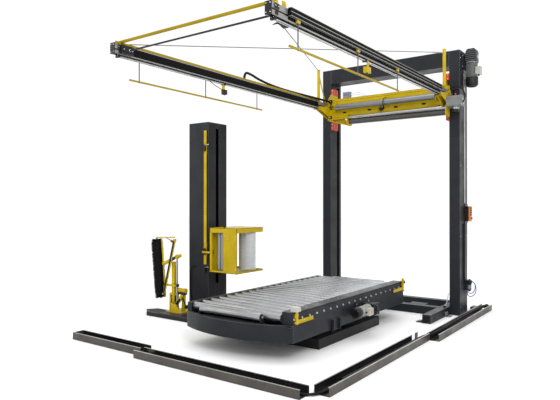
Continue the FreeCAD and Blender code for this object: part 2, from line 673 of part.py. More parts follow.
def hollow(name, axis, low, wide, tall, length):
    """Square or rectangular tube along an axis, with end lids."""
    across = {"x": (1, 2), "y": (0, 2), "z": (0, 1)}[axis]
    u, v = low[across[0]], low[across[1]]
    loops = [rectangle(u, v, wide, tall),
             rectangle(f"{u} + wall", f"{v} + wall", f"{wide} - 2 * wall", f"{tall} - 2 * wall")]
    along = {"x": 0, "y": 1, "z": 2}[axis]
    at = ["0", "0", "0"]
    at[along] = low[along]
    tube = profile(name, axis, loops, length, at)
    sizes = [None, None, None]
    sizes[across[0]] = f"{wide} - 2"
    sizes[across[1]] = f"{tall} - 2"
    sizes[along] = "wall"
    lids = []
    for index, start in enumerate((low[along], f"{low[along]} + {length} - wall")):
        corner = [f"{text} + 1" for text in low]
        corner[along] = start
        lids.append(box(f"{name}_lid_{index}", corner, sizes))
    return fuse(f"{name}_closed", tube, *lids)


ANCHOR_Y = ("foot_front + 60", "foot_back - 60")
ANCHOR_OUT = "column_half - column_x / 2 - foot_size - 45"


def gantry_base():
    """Foot tubes, two cross tubes, anchor flanges with holes and the cable plate."""
    pieces = []
    feet = (LEFT_INNER, f"{RIGHT_INNER} - foot_size")
    for index, low_x in enumerate(feet):
        pieces.append(hollow(f"foot_{index}", "y", (low_x, "foot_front", "0"), "foot_size", "foot_size",
                             "foot_back - foot_front"))
    for index, low_y in enumerate(("1709", "2290")):
        pieces.append(hollow(f"foot_cross_{index}", "x", (f"{LEFT_INNER} + foot_size - 1", low_y, "0"),
                             "foot_size",
                             "foot_size", f"2 * (column_half - foot_size) - column_x + 2"))
    pieces.append(box("foot_plate", ("620", "1709 + foot_size - 1", "foot_size - 14"), ("230", "150",
                  "12")))
    holes = []
    for side in (-1, 1):
        for index, at_y in enumerate(ANCHOR_Y):
            centre = f"gantry_x + {side} * ({ANCHOR_OUT})"
            pieces.append(box(f"anchor_flange_{side + 1}_{index}", (f"{centre} - 46", f"{at_y} - 45", "0"),
                              ("92", "90", "plate")))
            holes.append(rod(f"anchor_hole_{side + 1}_{index}", (centre, at_y, "-1"), "9", "plate + 2"))
    return node("gantry_base", cut("gantry_base", fuse("gantry_welded", *pieces), *holes))


def gantry_column(name, side):
    """Folded column with a lift slot in its inner face."""
    low_x = f"gantry_x + {side} * column_half - column_x / 2"
    shell = hollow(name + "_shell", "z", (low_x, "column_front", "0"), "column_x", "column_y", "gantry_top")
    inner_x = f"gantry_x + {side} * (column_half - column_x / 2)"
    slot = box(name + "_slot", (f"{inner_x} - wall - 1", "column_front + 200", "350"),
               ("2 * wall + 2", "70", "gantry_top - gantry_beam - 380"))
    return node(name, cut(name, shell, slot))


def gantry_top_beam():
    """Hollow beam that joins the column heads."""
    start = (LEFT_INNER, "column_front", "gantry_top - gantry_beam")
    tube = hollow("gantry_top_beam_tube", "x", start, "column_y - 60", "gantry_beam",
                  "2 * column_half - column_x")
    return node("gantry_top_beam", tube)


def lift_gearmotor():
    """Right-angle gearmotor with its shaft flange on the outer side of the right column head."""
    face = "gantry_x + column_half + column_x / 2"
    centre_x, centre_y = f"{face} + 96", "column_front + 245"
    flange = box("lift_flange", (face, "column_front + 60", "gantry_top - 240"), ("14", "250", "190"))
    bearing = rod("lift_bearing", (face, centre_y, "gantry_top - 78"), "52", "30", "x")
    shaft = rod("lift_shaft", (face, centre_y, "gantry_top - 78"), "24", "180", "x")
    gearbox = box("lift_gearbox", (f"{centre_x} - 72", f"{centre_y} - 72", "gantry_top - 145"),
                  ("144", "144", "185"))
    gasket = rod("lift_gasket", (centre_x, centre_y, "gantry_top - 163"), "88", "20")
    motor = rod("lift_motor", (centre_x, centre_y, "gantry_top - 365"), "76", "205")
    fan = rod("lift_fan", (centre_x, centre_y, "gantry_top - 490"), "84", "128")
    terminal = box("lift_terminals", (f"{centre_x} + 60", f"{centre_y} - 50", "gantry_top - 330"),
                   ("66", "100", "110"))
    return node("lift_gearmotor", fuse("lift_gearmotor", flange, bearing, shaft, gearbox, gasket, motor,
                                       fan, terminal))


STATION_X = "gantry_x + column_half + column_x / 2"


def control_station():
    """Emergency stop box, cable trunk and air service unit on the outer side of the right column."""
    plate = box("station_plate", (STATION_X, "column_front + 190", "1275"), ("10", "136", "270"))
    case = box("station_case", (f"{STATION_X} + 10", "column_front + 208", "1302"), ("62", "100", "214"))
    bore = rod("station_bore", (f"{STATION_X} + 30", "column_front + 258", "1345"), "12 + running_gap",
               "60", "x")
    trunk = box("station_trunk", (STATION_X, "column_front + 150", "470"), ("26", "60", "806"))
    clip = box("station_bracket", (STATION_X, "column_front + 215", "330"), ("24", "100", "140"))
    head = box("air_head", (f"{STATION_X} + 20", "column_front + 222", "415"), ("56", "94", "56"))
    bowls = [rod(f"air_bowl_{index}", (f"{STATION_X} + 48", f"column_front + {at}", "310"), "22", "110")
             for index, at in enumerate((246, 294))]
    dial = rod("air_dial", (f"{STATION_X} + 72", "column_front + 246", "442"), "20", "16", "x")
    cased = cut("station_bored", fuse("station_joined", plate, case), bore)
    air_y = "column_front + 268"
    tubes = [hose(f"air_tube_{index}", ((f"{STATION_X} + 70", air_y, "452"),
                                        (f"{STATION_X} + 118", f"{air_y} + {drift}", "448"),
                                        (f"{STATION_X} + 142", f"{air_y} + {2 * drift}", f"{380 - low}"),
                                        (f"{STATION_X} + 112", f"{air_y} + {drift}", f"{300 - low}"),
                                        (f"{STATION_X} + 50", air_y, f"{276 - low}"),
                                        (f"{STATION_X} + 14", air_y, f"{312 - low}"),
                                        (f"{STATION_X} + 12", air_y, "345")), "4")
             for index, (drift, low) in enumerate(((-14, 0), (12, 44)))]
    return node("control_station", fuse("control_station", cased, trunk, clip, head, *bowls, dial, *tubes))


def estop_button():
    """Mushroom head with its stem in the control box."""
    stem = rod("stop_stem", (f"{STATION_X} + 40", "column_front + 258", "1345"), "12", "42", "x")
    head = rod("stop_head", (f"{STATION_X} + 79", "column_front + 258", "1345"), "20", "16", "x")
    return node("estop_button", fuse("estop_button", stem, head))


# ---------------------------------------------------------------- top-sheet carriage and booms

BEAM_LEFT = "gantry_x - 937"
BEAM_RIGHT = "gantry_x + 987"
SPREADER = ("-513", "1672", "3038")
SHEET_ROLL = ("-295", "1735", "2815")
SHEET_ROLL_LENGTH = "1500"


def saddle(side):
    """Gusseted bracket that grips the rear end of one boom."""
    name = "left" if side < 0 else "right"
    centre = f"gantry_x + {side} * boom_half"
    outline = [("boom_back - 400", "boom_low - 8"), ("boom_back + 12", "2880"), ("boom_back + 12", "3180"),
               ("boom_back - 60", "3180"), ("boom_back - 190", "boom_low + 55"),
               ("boom_back - 400", "boom_low + 18")]
    webs = [profile(f"saddle_web_{name}_{index}", "x", [outline], "8", (at, "0", "0"))
            for index, at in enumerate((f"{centre} - boom_wide / 2 - 8", f"{centre} + boom_wide / 2"))]
    low_x = f"{centre} - 50" if side < 0 else f"{centre} - 160"
    back = box(f"saddle_back_{name}", (low_x, "boom_back", "2880"), ("210", "12", "300"))
    floor = box(f"saddle_floor_{name}", (f"{centre} - boom_wide / 2 - 4", "boom_back - 380",
                                         "boom_low - 8"),
                ("boom_wide + 8", "384", "8"))
    return [*webs, back, floor]


def sheet_carriage():
    """Two cross beams between end plates, boom saddles and the film roll's brackets and spindle."""
    span = f"{BEAM_RIGHT} - ({BEAM_LEFT})"
    plain = box("sheet_upper_bar", (BEAM_LEFT, "sheet_beam_y", "3085"), (span, "sheet_beam_depth", "95"))
    notches = [box(f"boom_notch_{side + 1}", (f"gantry_x + {side} * boom_half - boom_wide / 2 - boom_fit",
                                              "sheet_beam_y - 1", "3080"),
                   ("boom_wide + 2 * boom_fit", "sheet_beam_depth + 2",
                    "boom_low + boom_tall + boom_fit - 3080"))
               for side in (-1, 1)]
    upper = cut("sheet_upper_beam", plain, *notches)
    lower = box("sheet_lower_beam", (BEAM_LEFT, "sheet_beam_y + 15", "2870"), (span,
                "sheet_beam_depth - 15", "150"))
    slots = [box(f"sheet_slot_{index}", (f"{-396 + 423 * index}", "sheet_beam_y + 14", "2957"), ("62",
             "12", "16"))
             for index in range(4)]
    pieces = [upper, cut("sheet_lower_slotted", lower, *slots)]
    for index, at in enumerate((f"{LEFT_INNER} + 38", f"{RIGHT_INNER} - 48")):
        plate = box(f"sheet_end_blank_{index}", (at, "sheet_beam_y + 5", "2724"), ("10", "290", "657"))
        notch = box(f"sheet_end_notch_{index}", (f"{at} - 1", "sheet_beam_y + 4", "2723"), ("12", "53",
                    "146"))
        pieces.append(cut(f"sheet_end_plate_{index}", plate, notch))
    for index, along in enumerate((-640, 500, 1060)):
        pieces.append(box(f"sheet_link_{index}", (f"{along}", "sheet_beam_y + 40", "2960"), ("10", "36",
                      "127")))
    pieces += saddle(-1) + saddle(1)
    for index, at in enumerate((f"{SPREADER[0]} - 16", f"{SPREADER[0]} + 1586")):
        pieces.append(box(f"spreader_bracket_{index}", (at, "1640", "2975"), ("10", "91", "160")))
    for index, at in enumerate((f"{SHEET_ROLL[0]} - 16", f"{SHEET_ROLL[0]} + {SHEET_ROLL_LENGTH} + 6")):
        pieces.append(box(f"sheet_roll_bracket_{index}", (at, "1652", "2756"), ("10", "158", "206")))
    pieces.append(box("sheet_roll_toe", (f"{SHEET_ROLL[0]} - 330", "1660", "2748"), ("330", "130", "10")))
    pieces.append(box("sheet_roll_stay", (f"{SHEET_ROLL[0]} - 330", "1652", "2748"), ("10", "158", "214")))
    pieces.append(rod("sheet_spindle", (f"{SHEET_ROLL[0]} - 10", SHEET_ROLL[1], SHEET_ROLL[2]),
                      "22 - running_gap", f"{SHEET_ROLL_LENGTH} + 20", "x"))
    pieces.append(rod("sheet_nip_tube", (f"{SHEET_ROLL[0]} - 10", "1690", "2872"), "25",
                      f"{SHEET_ROLL_LENGTH} + 20", "x"))
    welded = fuse("sheet_welded", *pieces)
    bore = rod("spreader_bore", (f"{SPREADER[0]} - 20", SPREADER[1], SPREADER[2]), "10 + running_gap",
               "1620", "x")
    return node("sheet_carriage", cut("sheet_carriage", welded, bore))


def guide_blocks():
    """Four orange slide blocks between the end plates and the columns' inner faces."""
    pieces = []
    for index, (low_x, at) in enumerate(((f"{LEFT_INNER} + guide_gap", "left"),
                                         (f"{RIGHT_INNER} - 38", "right"))):
        for level, (low_z, tall) in enumerate((("3286", "95"), ("2724", "136"))):
            pieces.append(box(f"guide_{at}_{level}", (low_x, "column_front + 8", low_z),
                              ("38 - guide_gap", "142", tall)))
    return node("guide_blocks", fuse("guide_blocks", *pieces))


def spreader_roller():
    """Large free roller under the upper beam."""
    drum = rod("spreader_drum", SPREADER, "43", "1581", "x")
    journal = rod("spreader_journal", (f"{SPREADER[0]} - 14", SPREADER[1], SPREADER[2]), "10", "1609", "x")
    return node("spreader_roller", fuse("spreader_roller", drum, journal))


def sheet_film_roll():
    """Roll of top sheet on the carriage's spindle."""
    return node("sheet_film_roll", ring("sheet_film_roll", SHEET_ROLL, "45", "22", SHEET_ROLL_LENGTH, "x"))


def carriage_gearbox():
    """Grey drive housing at the right end, its collar, and the valve box on the upper beam."""
    low_x = f"{BEAM_RIGHT} + 2"
    case = box("nip_case", (low_x, "1640", "2876"), ("204", "200", "142"))
    collar = rod("nip_collar", (f"{low_x} + 104", "1740", "2800"), "46", "78")
    plugs = [rod(f"nip_plug_{index}", (f"{low_x} + {at}", "1700", "3016"), "14", "36")
             for index, at in enumerate((60, 110, 160))]
    valves = box("valve_box", (f"{BEAM_LEFT} + 270", "sheet_beam_y + 20", "3180"), ("122", "60", "100"))
    lead = hose("nip_lead", ((f"{low_x} + 60", "1700", "3045"), (f"{low_x} + 62", "1698", "3120"),
                             (f"{low_x} + 154", "1690", "3165"), (f"{low_x} + 236", "1700", "3090"),
                             (f"{low_x} + 244", "1722", "2985"), (f"{low_x} + 202", "1735", "2925")), "6")
    valve_x = f"{BEAM_LEFT} + 392"
    tubes = [hose(f"valve_tube_{index}", ((f"{valve_x} - 4", "sheet_beam_y + 50", level),
                                          (f"{valve_x} + 90", "sheet_beam_y + 52", f"{level} + {rise}"),
                                          (f"{valve_x} + 190", "sheet_beam_y + 50",
                                           f"{level} + {rise} - 22"),
                                          (f"{valve_x} + {reach}", "sheet_beam_y + 46", "3184")), "3")
             for index, (level, rise, reach) in enumerate((("3246", 20, 280), ("3222", 8, 262)))]
    return node("carriage_gearbox", fuse("carriage_gearbox", case, collar, *plugs, valves, lead, *tubes))


HANGER_Y = {-1: (-1972, -983, -2), 1: (-1980, -926, 20)}
HANGER_OUT = 39
STRIP_TALL = {-1: 9, 1: 0}


def boom(name, side):
    """Slotted profile along Y with an end cap, guide rods below and their end blocks."""
    centre = f"gantry_x + {side} * boom_half"
    half, deep = "boom_wide / 2", "boom_wide / 2 - 10"
    outline = []
    rising = ("0", "36", "36", "50", "50", "boom_tall")
    for sign, levels in ((1, rising), (-1, rising[::-1])):
        for step, level in enumerate(levels):
            reach = deep if step in (2, 3) else half
            outline.append((f"{centre} + {sign} * ({reach})", f"boom_low + {level}"))
    bore = rectangle(f"{centre} - 13", "boom_low + 8", "26", "boom_tall - 16")
    beam = profile(name + "_beam", "y", [outline, bore], "boom_back - boom_tip", ("0", "boom_tip", "0"))
    cap = box(name + "_cap", (f"{centre} - {half} - 2", "boom_tip - 8", "boom_low - 2"),
              ("boom_wide + 4", "8", "boom_tall + 4"))
    pieces = [beam, cap]
    for index, shift in enumerate((-12, 12)):
        pieces.append(rod(f"{name}_guide_{index}", (f"{centre} + {shift}", "boom_tip + 60",
                                                    "boom_low - 18"),
                          "5", "boom_back - boom_tip - 500", "y"))
    for index, at in enumerate(("boom_tip + 60", "-700", "boom_back - 450")):
        pieces.append(box(f"{name}_guide_block_{index}", (f"{centre} - 24", at, "boom_low - 28"),
                          ("48", "24", "28")))
    for index, at in enumerate(HANGER_Y[side]):
        pieces.append(box(f"{name}_hanger_block_{index}",
                          (f"{centre} + {side} * ({half} + 10) - 10", f"{at} - 22", "boom_low + 12"),
                          ("20", "44", "27")))
    if side > 0:
        tray_x = f"{centre} + {half}"
        tray = cut("tray_channel", box("tray_outside", (tray_x, "-2110", "boom_low + 40"), ("30", "3540",
                   "70")),
                   box("tray_inside", (f"{tray_x} + 3", "-2107", "boom_low + 43"), ("24", "3534", "70")))
        pieces.append(tray)
        pieces.append(box("tip_upstand", (f"{centre} - 24", "boom_tip + 210", "boom_low + boom_tall"),
                          ("10", "50", "70")))
    else:
        pieces.append(box("top_strip", (f"{centre} - 16", "boom_tip + 10", "boom_low + boom_tall"),
                          ("47", "3770", f"{STRIP_TALL[side]}")))
    return node(name, fuse(name, *pieces))


def boom_bracing():
    """Posts, braces, tip tie, crossed guy rods, and the bars that hang below the booms."""
    top = "boom_low + boom_tall"
    tie = rod("tip_tie", ("gantry_x - boom_half - 20", "boom_tip + 80", f"{top} + 24"), "15",
              "2 * boom_half + 40",
              "x")
    pieces = [tie]
    for side in (-1, 1):
        name = "left" if side < 0 else "right"
        centre = f"gantry_x + {side} * boom_half"
        shift, foot_long = (-8, 56) if side < 0 else (62, 112)
        lane = f"{centre} + {shift}"
        pieces.append(strut(f"post_{name}", (lane, "1509", f"{top} + 4"), (lane, "1509", "3626"), "18"))
        pieces.append(box(f"post_foot_{name}", (f"{centre} - 28", "1480", top), (f"{foot_long}", "60", "8")))
        pieces.append(strut(f"brace_{name}", (centre, "1690", f"{top} + 4"), (lane, "1522", "3540"), "9"))
        pieces.append(box(f"brace_foot_{name}", (f"{centre} - 20", "1666", top), ("40", "44", "8")))
        seat = f"{top} + {STRIP_TALL[side]}"
        pieces.append(box(f"tie_foot_{name}", (f"{centre} - 22", "boom_tip + 60", seat), ("44", "40",
                      "20")))
        opposite = f"gantry_x - {side} * (boom_half + {60 if side < 0 else 8})"
        lift = 16 if side < 0 else 50
        low_end = (centre, "boom_tip + 130", f"{top} + {lift}")
        if side > 0:
            low_end = (f"{centre} - boom_wide / 2 - 6", "boom_tip + 40", "boom_low + 72")
        pieces.append(strut(f"guy_{name}", low_end, (opposite, "1500", f"3560 + {lift}"), "5"))
        pieces.append(strut(f"turnbuckle_{name}", (f"{opposite} - {side} * -95", "1320", f"3538 + {lift}"),
                            (f"{opposite} - {side} * -15", "1472", f"3557 + {lift}"), "9"))
        if side < 0:
            pieces.append(box(f"guy_foot_{name}", (f"{centre} - 12", "boom_tip + 116", seat),
                              ("24", "28", f"{lift + 6 - STRIP_TALL[side]}")))
        else:
            pieces.append(box(f"guy_foot_{name}", (f"{centre} - boom_wide / 2 - 12", "boom_tip + 28",
                                                   "boom_low + 60"), ("12", "24", "24")))
    for side, start, length, level in ((-1, -2097, 2204, 2806), (1, -2106, 2157, 2818)):
        centre = f"gantry_x + {side} * (boom_half + {HANGER_OUT})"
        pieces.append(box(f"hang_bar_{side + 1}", (f"{centre} - 6", f"{start}", f"{level}"),
                          ("12", f"{length}", "12")))
        for index, at in enumerate(HANGER_Y[side]):
            pieces.append(rod(f"hanger_{side + 1}_{index}", (centre, f"{at}", f"{level} + 4"), "4",
                              f"boom_low - {level} + 8"))
    return node("boom_bracing", fuse("boom_bracing", *pieces))


def sheet_gripper():
    """Cross tube with a shuttle at each boom, which pulls the top sheet along Y."""
    inside = "boom_half - boom_wide / 2 - 2"
    tube = rod("gripper_tube", (f"gantry_x - ({inside})", "-2190", "3068"), "9", f"2 * ({inside})", "x")
    left = box("gripper_left", (f"gantry_x - ({inside})", "-2270", "3030"), ("40", "140", "84"))
    right = box("gripper_right", (f"gantry_x + {inside} - 40", "-2225", "2990"), ("40", "225", "100"))
    return node("sheet_gripper", fuse("sheet_gripper", tube, left, right))


def boom_conduit():
    """Corrugated hose clipped along the left boom to the upper beam."""
    lane, inner = "gantry_x - boom_half + 14", "gantry_x - boom_half + 62"
    top = "boom_low + boom_tall"
    route = ((lane, "-330", f"{top} + 20"), (lane, "-326", f"{top} + 107"), (lane, "-190", f"{top} + 101"),
             (lane, "0", f"{top} + 57"), (lane, "400", f"{top} + 26"), (lane, "950", f"{top} + 30"),
             (inner, "1360", f"{top} + 25"), (inner, "sheet_beam_y", f"{top} + 25"))
    return node("boom_conduit", hose("boom_conduit", route, "16"))


# ---------------------------------------------------------------- floor cable ducts

def duct(name, low, wide, length_y, open_gap=None):
    """Open-topped channel on the floor."""
    x, y = low
    outside = box(name + "_outside", (x, y, "0"), (wide, length_y, "duct_tall"))
    inside = box(name + "_inside", (f"{x} + duct_wall", f"{y} + duct_wall", "duct_wall"),
                 (f"{wide} - 2 * duct_wall", f"{length_y} - 2 * duct_wall", "duct_tall"))
    tools = [inside] + ([open_gap] if open_gap else [])
    return cut(name, outside, *tools)


def cable_ducts():
    """Front and side channels round the machine, with an offset piece at each outer end."""
    mouth = box("front_mouth", ("duct_x - duct_wide - 40", "duct_y + 20", "duct_wall"),
                ("60", "duct_wide - 40", "duct_tall"))
    front = duct("duct_front", ("-700", "duct_y"), "duct_x - duct_wide + 680", "duct_wide", mouth)
    front_end = duct("duct_front_end", ("-1870", "duct_y + 90"), "1170", "duct_wide")
    side_mouth = box("side_mouth", ("duct_x - duct_wide + 20", "duct_y + 160", "duct_wall"),
                     ("duct_wide - 40", "60", "duct_tall"))
    side_gap = box("side_gap", ("duct_x - duct_wide - 1", "170", "duct_wall"),
                   ("duct_wall + 2", "90", "duct_tall"))
    side = duct("duct_side", ("duct_x - duct_wide", "duct_y + 186"), "duct_wide", "340 - duct_y - 186",
                fuse("side_openings", side_mouth, side_gap))
    side_end = duct("duct_side_end", ("duct_x - 36", "340"), "duct_wide", "2230")
    cap = rod("duct_cap", ("duct_x - 36 + duct_wide / 2", "2560", "duct_tall / 2"), "duct_tall / 2",
              "22", "y")
    cover = box("duct_cover", ("gantry_x + column_half + column_x / 2 + 2", "2330", "0"),
                ("duct_x - 36 - gantry_x - column_half - column_x / 2 - 2", "150", "56"))
    return node("cable_ducts", fuse("cable_ducts", front, front_end, side, side_end, cap, cover))


def duct_cable():
    """Supply cable that leaves the front channel, rounds the corner and enters the side channel."""
    lane_x, lane_y = "duct_x - duct_wide / 2", "duct_y + duct_wide / 2"
    bends = ((-420, 0), (-298, -6), (-178, -1), (-73, 29), (-15, 113), (-1, 225), (2, 335), (-1, 423))
    route = [(f"{lane_x} + ({across})", f"{lane_y} + ({along})", "duct_wall + 13") for across, along in bends]
    return node("duct_cable", hose("duct_cable", route, "12"))


def frame_bolts():
    """Hex bolts: four on the mast's foot plate and four on each gantry foot at its column."""
    pieces = []

    def bolt(name, at, height):
        head = doc.addObject("Part::Prism", name)
        head.Polygon = 6
        bind(head, "Circumradius", "12")
        bind(head, "Height", height)
        return place(head, at)

    for index, (x, y) in enumerate(((0, 0), (1, 0), (0, 1), (1, 1))):
        at_x = f"mast_face_x - mast_size_x - 20 + {x} * (mast_size_x + 40)"
        at_y = f"mast_face_y - 18 + {y} * (mast_size_y + 36)"
        pieces.append(bolt(f"mast_bolt_{index}", (at_x, at_y, "mast_sole"), "11"))
    for side, start in ((0, f"{LEFT_INNER} + foot_size / 2"), (1, f"{RIGHT_INNER} - foot_size / 2")):
        for index, at in enumerate((1840, 1900, 2160, 2220)):
            pieces.append(bolt(f"foot_bolt_{side}_{index}", (start, f"{at}", "foot_size"), "11"))
    return node("frame_bolts", fuse("frame_bolts", *pieces))


def build():
    turntable_base()
    slewing_ring()
    table_gearmotor()
    mast_base_frame()
    mast_column()
    mast_switch_rail()
    clamp_stand()
    gantry_base()
    gantry_column("gantry_column_left", -1)
    gantry_column("gantry_column_right", 1)
    gantry_top_beam()
    lift_gearmotor()
    control_station()
    cable_ducts()
    duct_cable()
    frame_bolts()
    estop_button()
    table_frame()
    table_side_right()
    roller_axles()
    conveyor_gearmotor()
    sensor_brackets()
    rollers()
    film_carriage()
    guide_rollers()
    film_roll()
    wiper_arm()
    clamp_arm()
    sheet_carriage()
    guide_blocks()
    spreader_roller()
    sheet_film_roll()
    carriage_gearbox()
    boom("boom_left", -1)
    boom("boom_right", 1)
    boom_bracing()
    sheet_gripper()
    boom_conduit()


def export():
    """Recomputes, checks every object and writes one STEP file for each sub-part."""
    doc.recompute()
    for thing in doc.Objects:
        if "Invalid" in thing.State or "Error" in thing.State:
            raise RuntimeError(f"{thing.Name} failed: {thing.State}")
    for part in nodes:
        if part.Shape.isNull() or not part.Shape.isValid() or part.Shape.Volume <= 0:
            raise RuntimeError(f"{part.Label} has no valid shape")
    os.makedirs("parts", exist_ok=True)
    for part in nodes:
        part.Shape.exportStep(f"parts/{part.Label}.step")
    print(len(nodes), "sub-parts written")


build()
export()
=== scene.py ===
"""Looks of a turntable pallet wrapper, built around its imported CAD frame.

Lengths in the shape calls are millimetres in the row frame: +Z up, origin at the turntable's centre on the
floor, pallets travel along Y, the film mast stands at -X and the gantry at +Y. Objects end up in metres.
"""

import itertools
import json
import math
import random

import bmesh
import bpy
from mathutils import Matrix, Vector


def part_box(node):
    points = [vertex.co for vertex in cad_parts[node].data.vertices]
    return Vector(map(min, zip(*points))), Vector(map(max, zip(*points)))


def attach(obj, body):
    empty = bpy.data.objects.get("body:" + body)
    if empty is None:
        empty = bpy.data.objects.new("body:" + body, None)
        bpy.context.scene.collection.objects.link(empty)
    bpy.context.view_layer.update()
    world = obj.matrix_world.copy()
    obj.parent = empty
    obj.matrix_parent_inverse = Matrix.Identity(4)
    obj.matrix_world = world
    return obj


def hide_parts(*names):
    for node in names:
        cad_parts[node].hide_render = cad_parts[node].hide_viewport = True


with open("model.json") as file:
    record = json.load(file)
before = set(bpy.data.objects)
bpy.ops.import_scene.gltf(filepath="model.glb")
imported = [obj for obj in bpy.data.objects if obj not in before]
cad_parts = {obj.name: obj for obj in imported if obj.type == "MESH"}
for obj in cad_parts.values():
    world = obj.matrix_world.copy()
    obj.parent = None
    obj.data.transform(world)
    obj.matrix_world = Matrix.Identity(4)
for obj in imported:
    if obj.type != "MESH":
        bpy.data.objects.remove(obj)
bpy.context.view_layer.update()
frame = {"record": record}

MM = 0.001
SLOTS = [item["slot"] for item in frame["record"]["materials"]]
RIGHT, LEFT, BACK, FRONT, UP, DOWN = (1, 0, 0), (-1, 0, 0), (0, 1, 0), (0, -1, 0), (0, 0, 1), (0, 0, -1)
chance = random.Random(11)


def span(node):
    """Lowest and highest corner of a CAD node, in millimetres."""
    low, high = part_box(node)
    return low / MM, high / MM


def each(places):
    """A single place as a row of one."""
    return places if isinstance(places, (tuple, list, range)) else (places,)


def ring(count, radius, share=0.0):
    """Even places on a circle, as (across, up) pairs, the first one at a share of a step."""
    angles = [math.tau * (step + share) / count for step in range(count)]
    return [(radius * math.cos(angle), radius * math.sin(angle)) for angle in angles]


# ---------------------------------------------------------------- finishes

finishes = {}


def finish(name, colour, second=None, rough=0.45, metal=0.0, grain=400.0, bump=0.12, stretch=(1, 1, 1),
           dust=0.12, spread=0.12, coat=0.0, streaks=0.0, spangle=0.0, shine=0.4):
    """Two tones in blotches, uneven roughness, fine bump, and dust on faces that look up."""
    material = bpy.data.materials.new(name)
    material.use_nodes = True
    tree = material.node_tree
    shader = tree.nodes["Principled BSDF"]
    shader.inputs["Metallic"].default_value = metal
    shader.inputs["Coat Weight"].default_value = coat
    shader.inputs["Coat Roughness"].default_value = 0.15
    shader.inputs["Specular IOR Level"].default_value = shine
    second = second or tuple(channel * 0.72 for channel in colour)

    def add(kind, **values):
        item = tree.nodes.new(kind)
        for key, setting in values.items():
            if isinstance(setting, bpy.types.NodeSocket):
                tree.links.new(setting, item.inputs[key.replace("_", " ")])
            else:
                item.inputs[key.replace("_", " ")].default_value = setting
        return item

    def ranged(source, low, high, first, last):
        item = add("ShaderNodeMapRange", From_Min=low, From_Max=high, To_Min=first, To_Max=last)
        tree.links.new(source, item.inputs["Value"])
        return item.outputs["Result"]

    def mixed(factor, first, last):
        item = tree.nodes.new("ShaderNodeMix")
        item.data_type = "RGBA"
        tree.links.new(factor, item.inputs["Factor"])
        for socket, colour_in in ((item.inputs[6], first), (item.inputs[7], last)):
            if isinstance(colour_in, bpy.types.NodeSocket):
                tree.links.new(colour_in, socket)
            else:
                socket.default_value = (*colour_in, 1)
        return item.outputs["Result"]

    place = tree.nodes.new("ShaderNodeTexCoord").outputs["Object"]
    stretched = add("ShaderNodeMapping", Vector=place, Scale=stretch).outputs["Vector"]
    blotches = add("ShaderNodeTexNoise", Vector=stretched, Scale=4.2, Detail=6.0,
                   Roughness=0.6).outputs["Fac"]
    fine = add("ShaderNodeTexNoise", Vector=stretched, Scale=grain, Detail=3.0).outputs["Fac"]
    tone = mixed(ranged(blotches, 0.35, 0.68, 0.0, 1.0), colour, second)
    if spangle:
        cells = add("ShaderNodeTexVoronoi", Vector=stretched, Scale=spangle)
        tone = mixed(ranged(cells.outputs["Distance"], 0.1, 0.7, 0.0, 0.45), tone, second)
    if streaks:
        lines = add("ShaderNodeTexNoise", Vector=stretched, Scale=streaks, Detail=2.0).outputs["Fac"]
        tone = mixed(ranged(lines, 0.56, 0.74, 0.0, 0.5), tone, tuple(channel * 0.5 for channel in second))
    if dust:
        normal = tree.nodes.new("ShaderNodeSeparateXYZ")
        tree.links.new(tree.nodes.new("ShaderNodeNewGeometry").outputs["Normal"], normal.inputs["Vector"])
        settled = ranged(normal.outputs["Z"], 0.55, 1.0, 0.0, dust)
        patchy = add("ShaderNodeTexNoise", Vector=place, Scale=9.0, Detail=8.0, Roughness=0.7).outputs["Fac"]
        amount = tree.nodes.new("ShaderNodeMath")
        amount.operation = "MULTIPLY"
        tree.links.new(settled, amount.inputs[0])
        tree.links.new(ranged(patchy, 0.3, 0.7, 0.5, 1.6), amount.inputs[1])
        tone = mixed(amount.outputs["Value"], tone, (0.42, 0.40, 0.37))
    tree.links.new(tone, shader.inputs["Base Color"])
    tree.links.new(ranged(blotches, 0.3, 0.7, max(rough - spread, 0.04), rough + spread),
                   shader.inputs["Roughness"])
    relief = add("ShaderNodeBump", Strength=bump, Distance=0.0006, Height=fine)
    tree.links.new(relief.outputs["Normal"], shader.inputs["Normal"])
    finishes[name] = material
    return material


def clear_film(name, tint, alpha, rough):
    """Stretch film: many clear layers that read as milky, with faint winding bands."""
    material = finish(name, tint, tuple(channel * 0.86 for channel in tint), rough=rough, grain=90.0,
                      bump=0.25, stretch=(0.4, 0.4, 9.0), dust=0.0, streaks=30.0)
    shader = material.node_tree.nodes["Principled BSDF"]
    shader.inputs["Alpha"].default_value = alpha
    shader.inputs["Subsurface Weight"].default_value = 0.25
    shader.inputs["Coat Weight"].default_value = 0.6
    return material


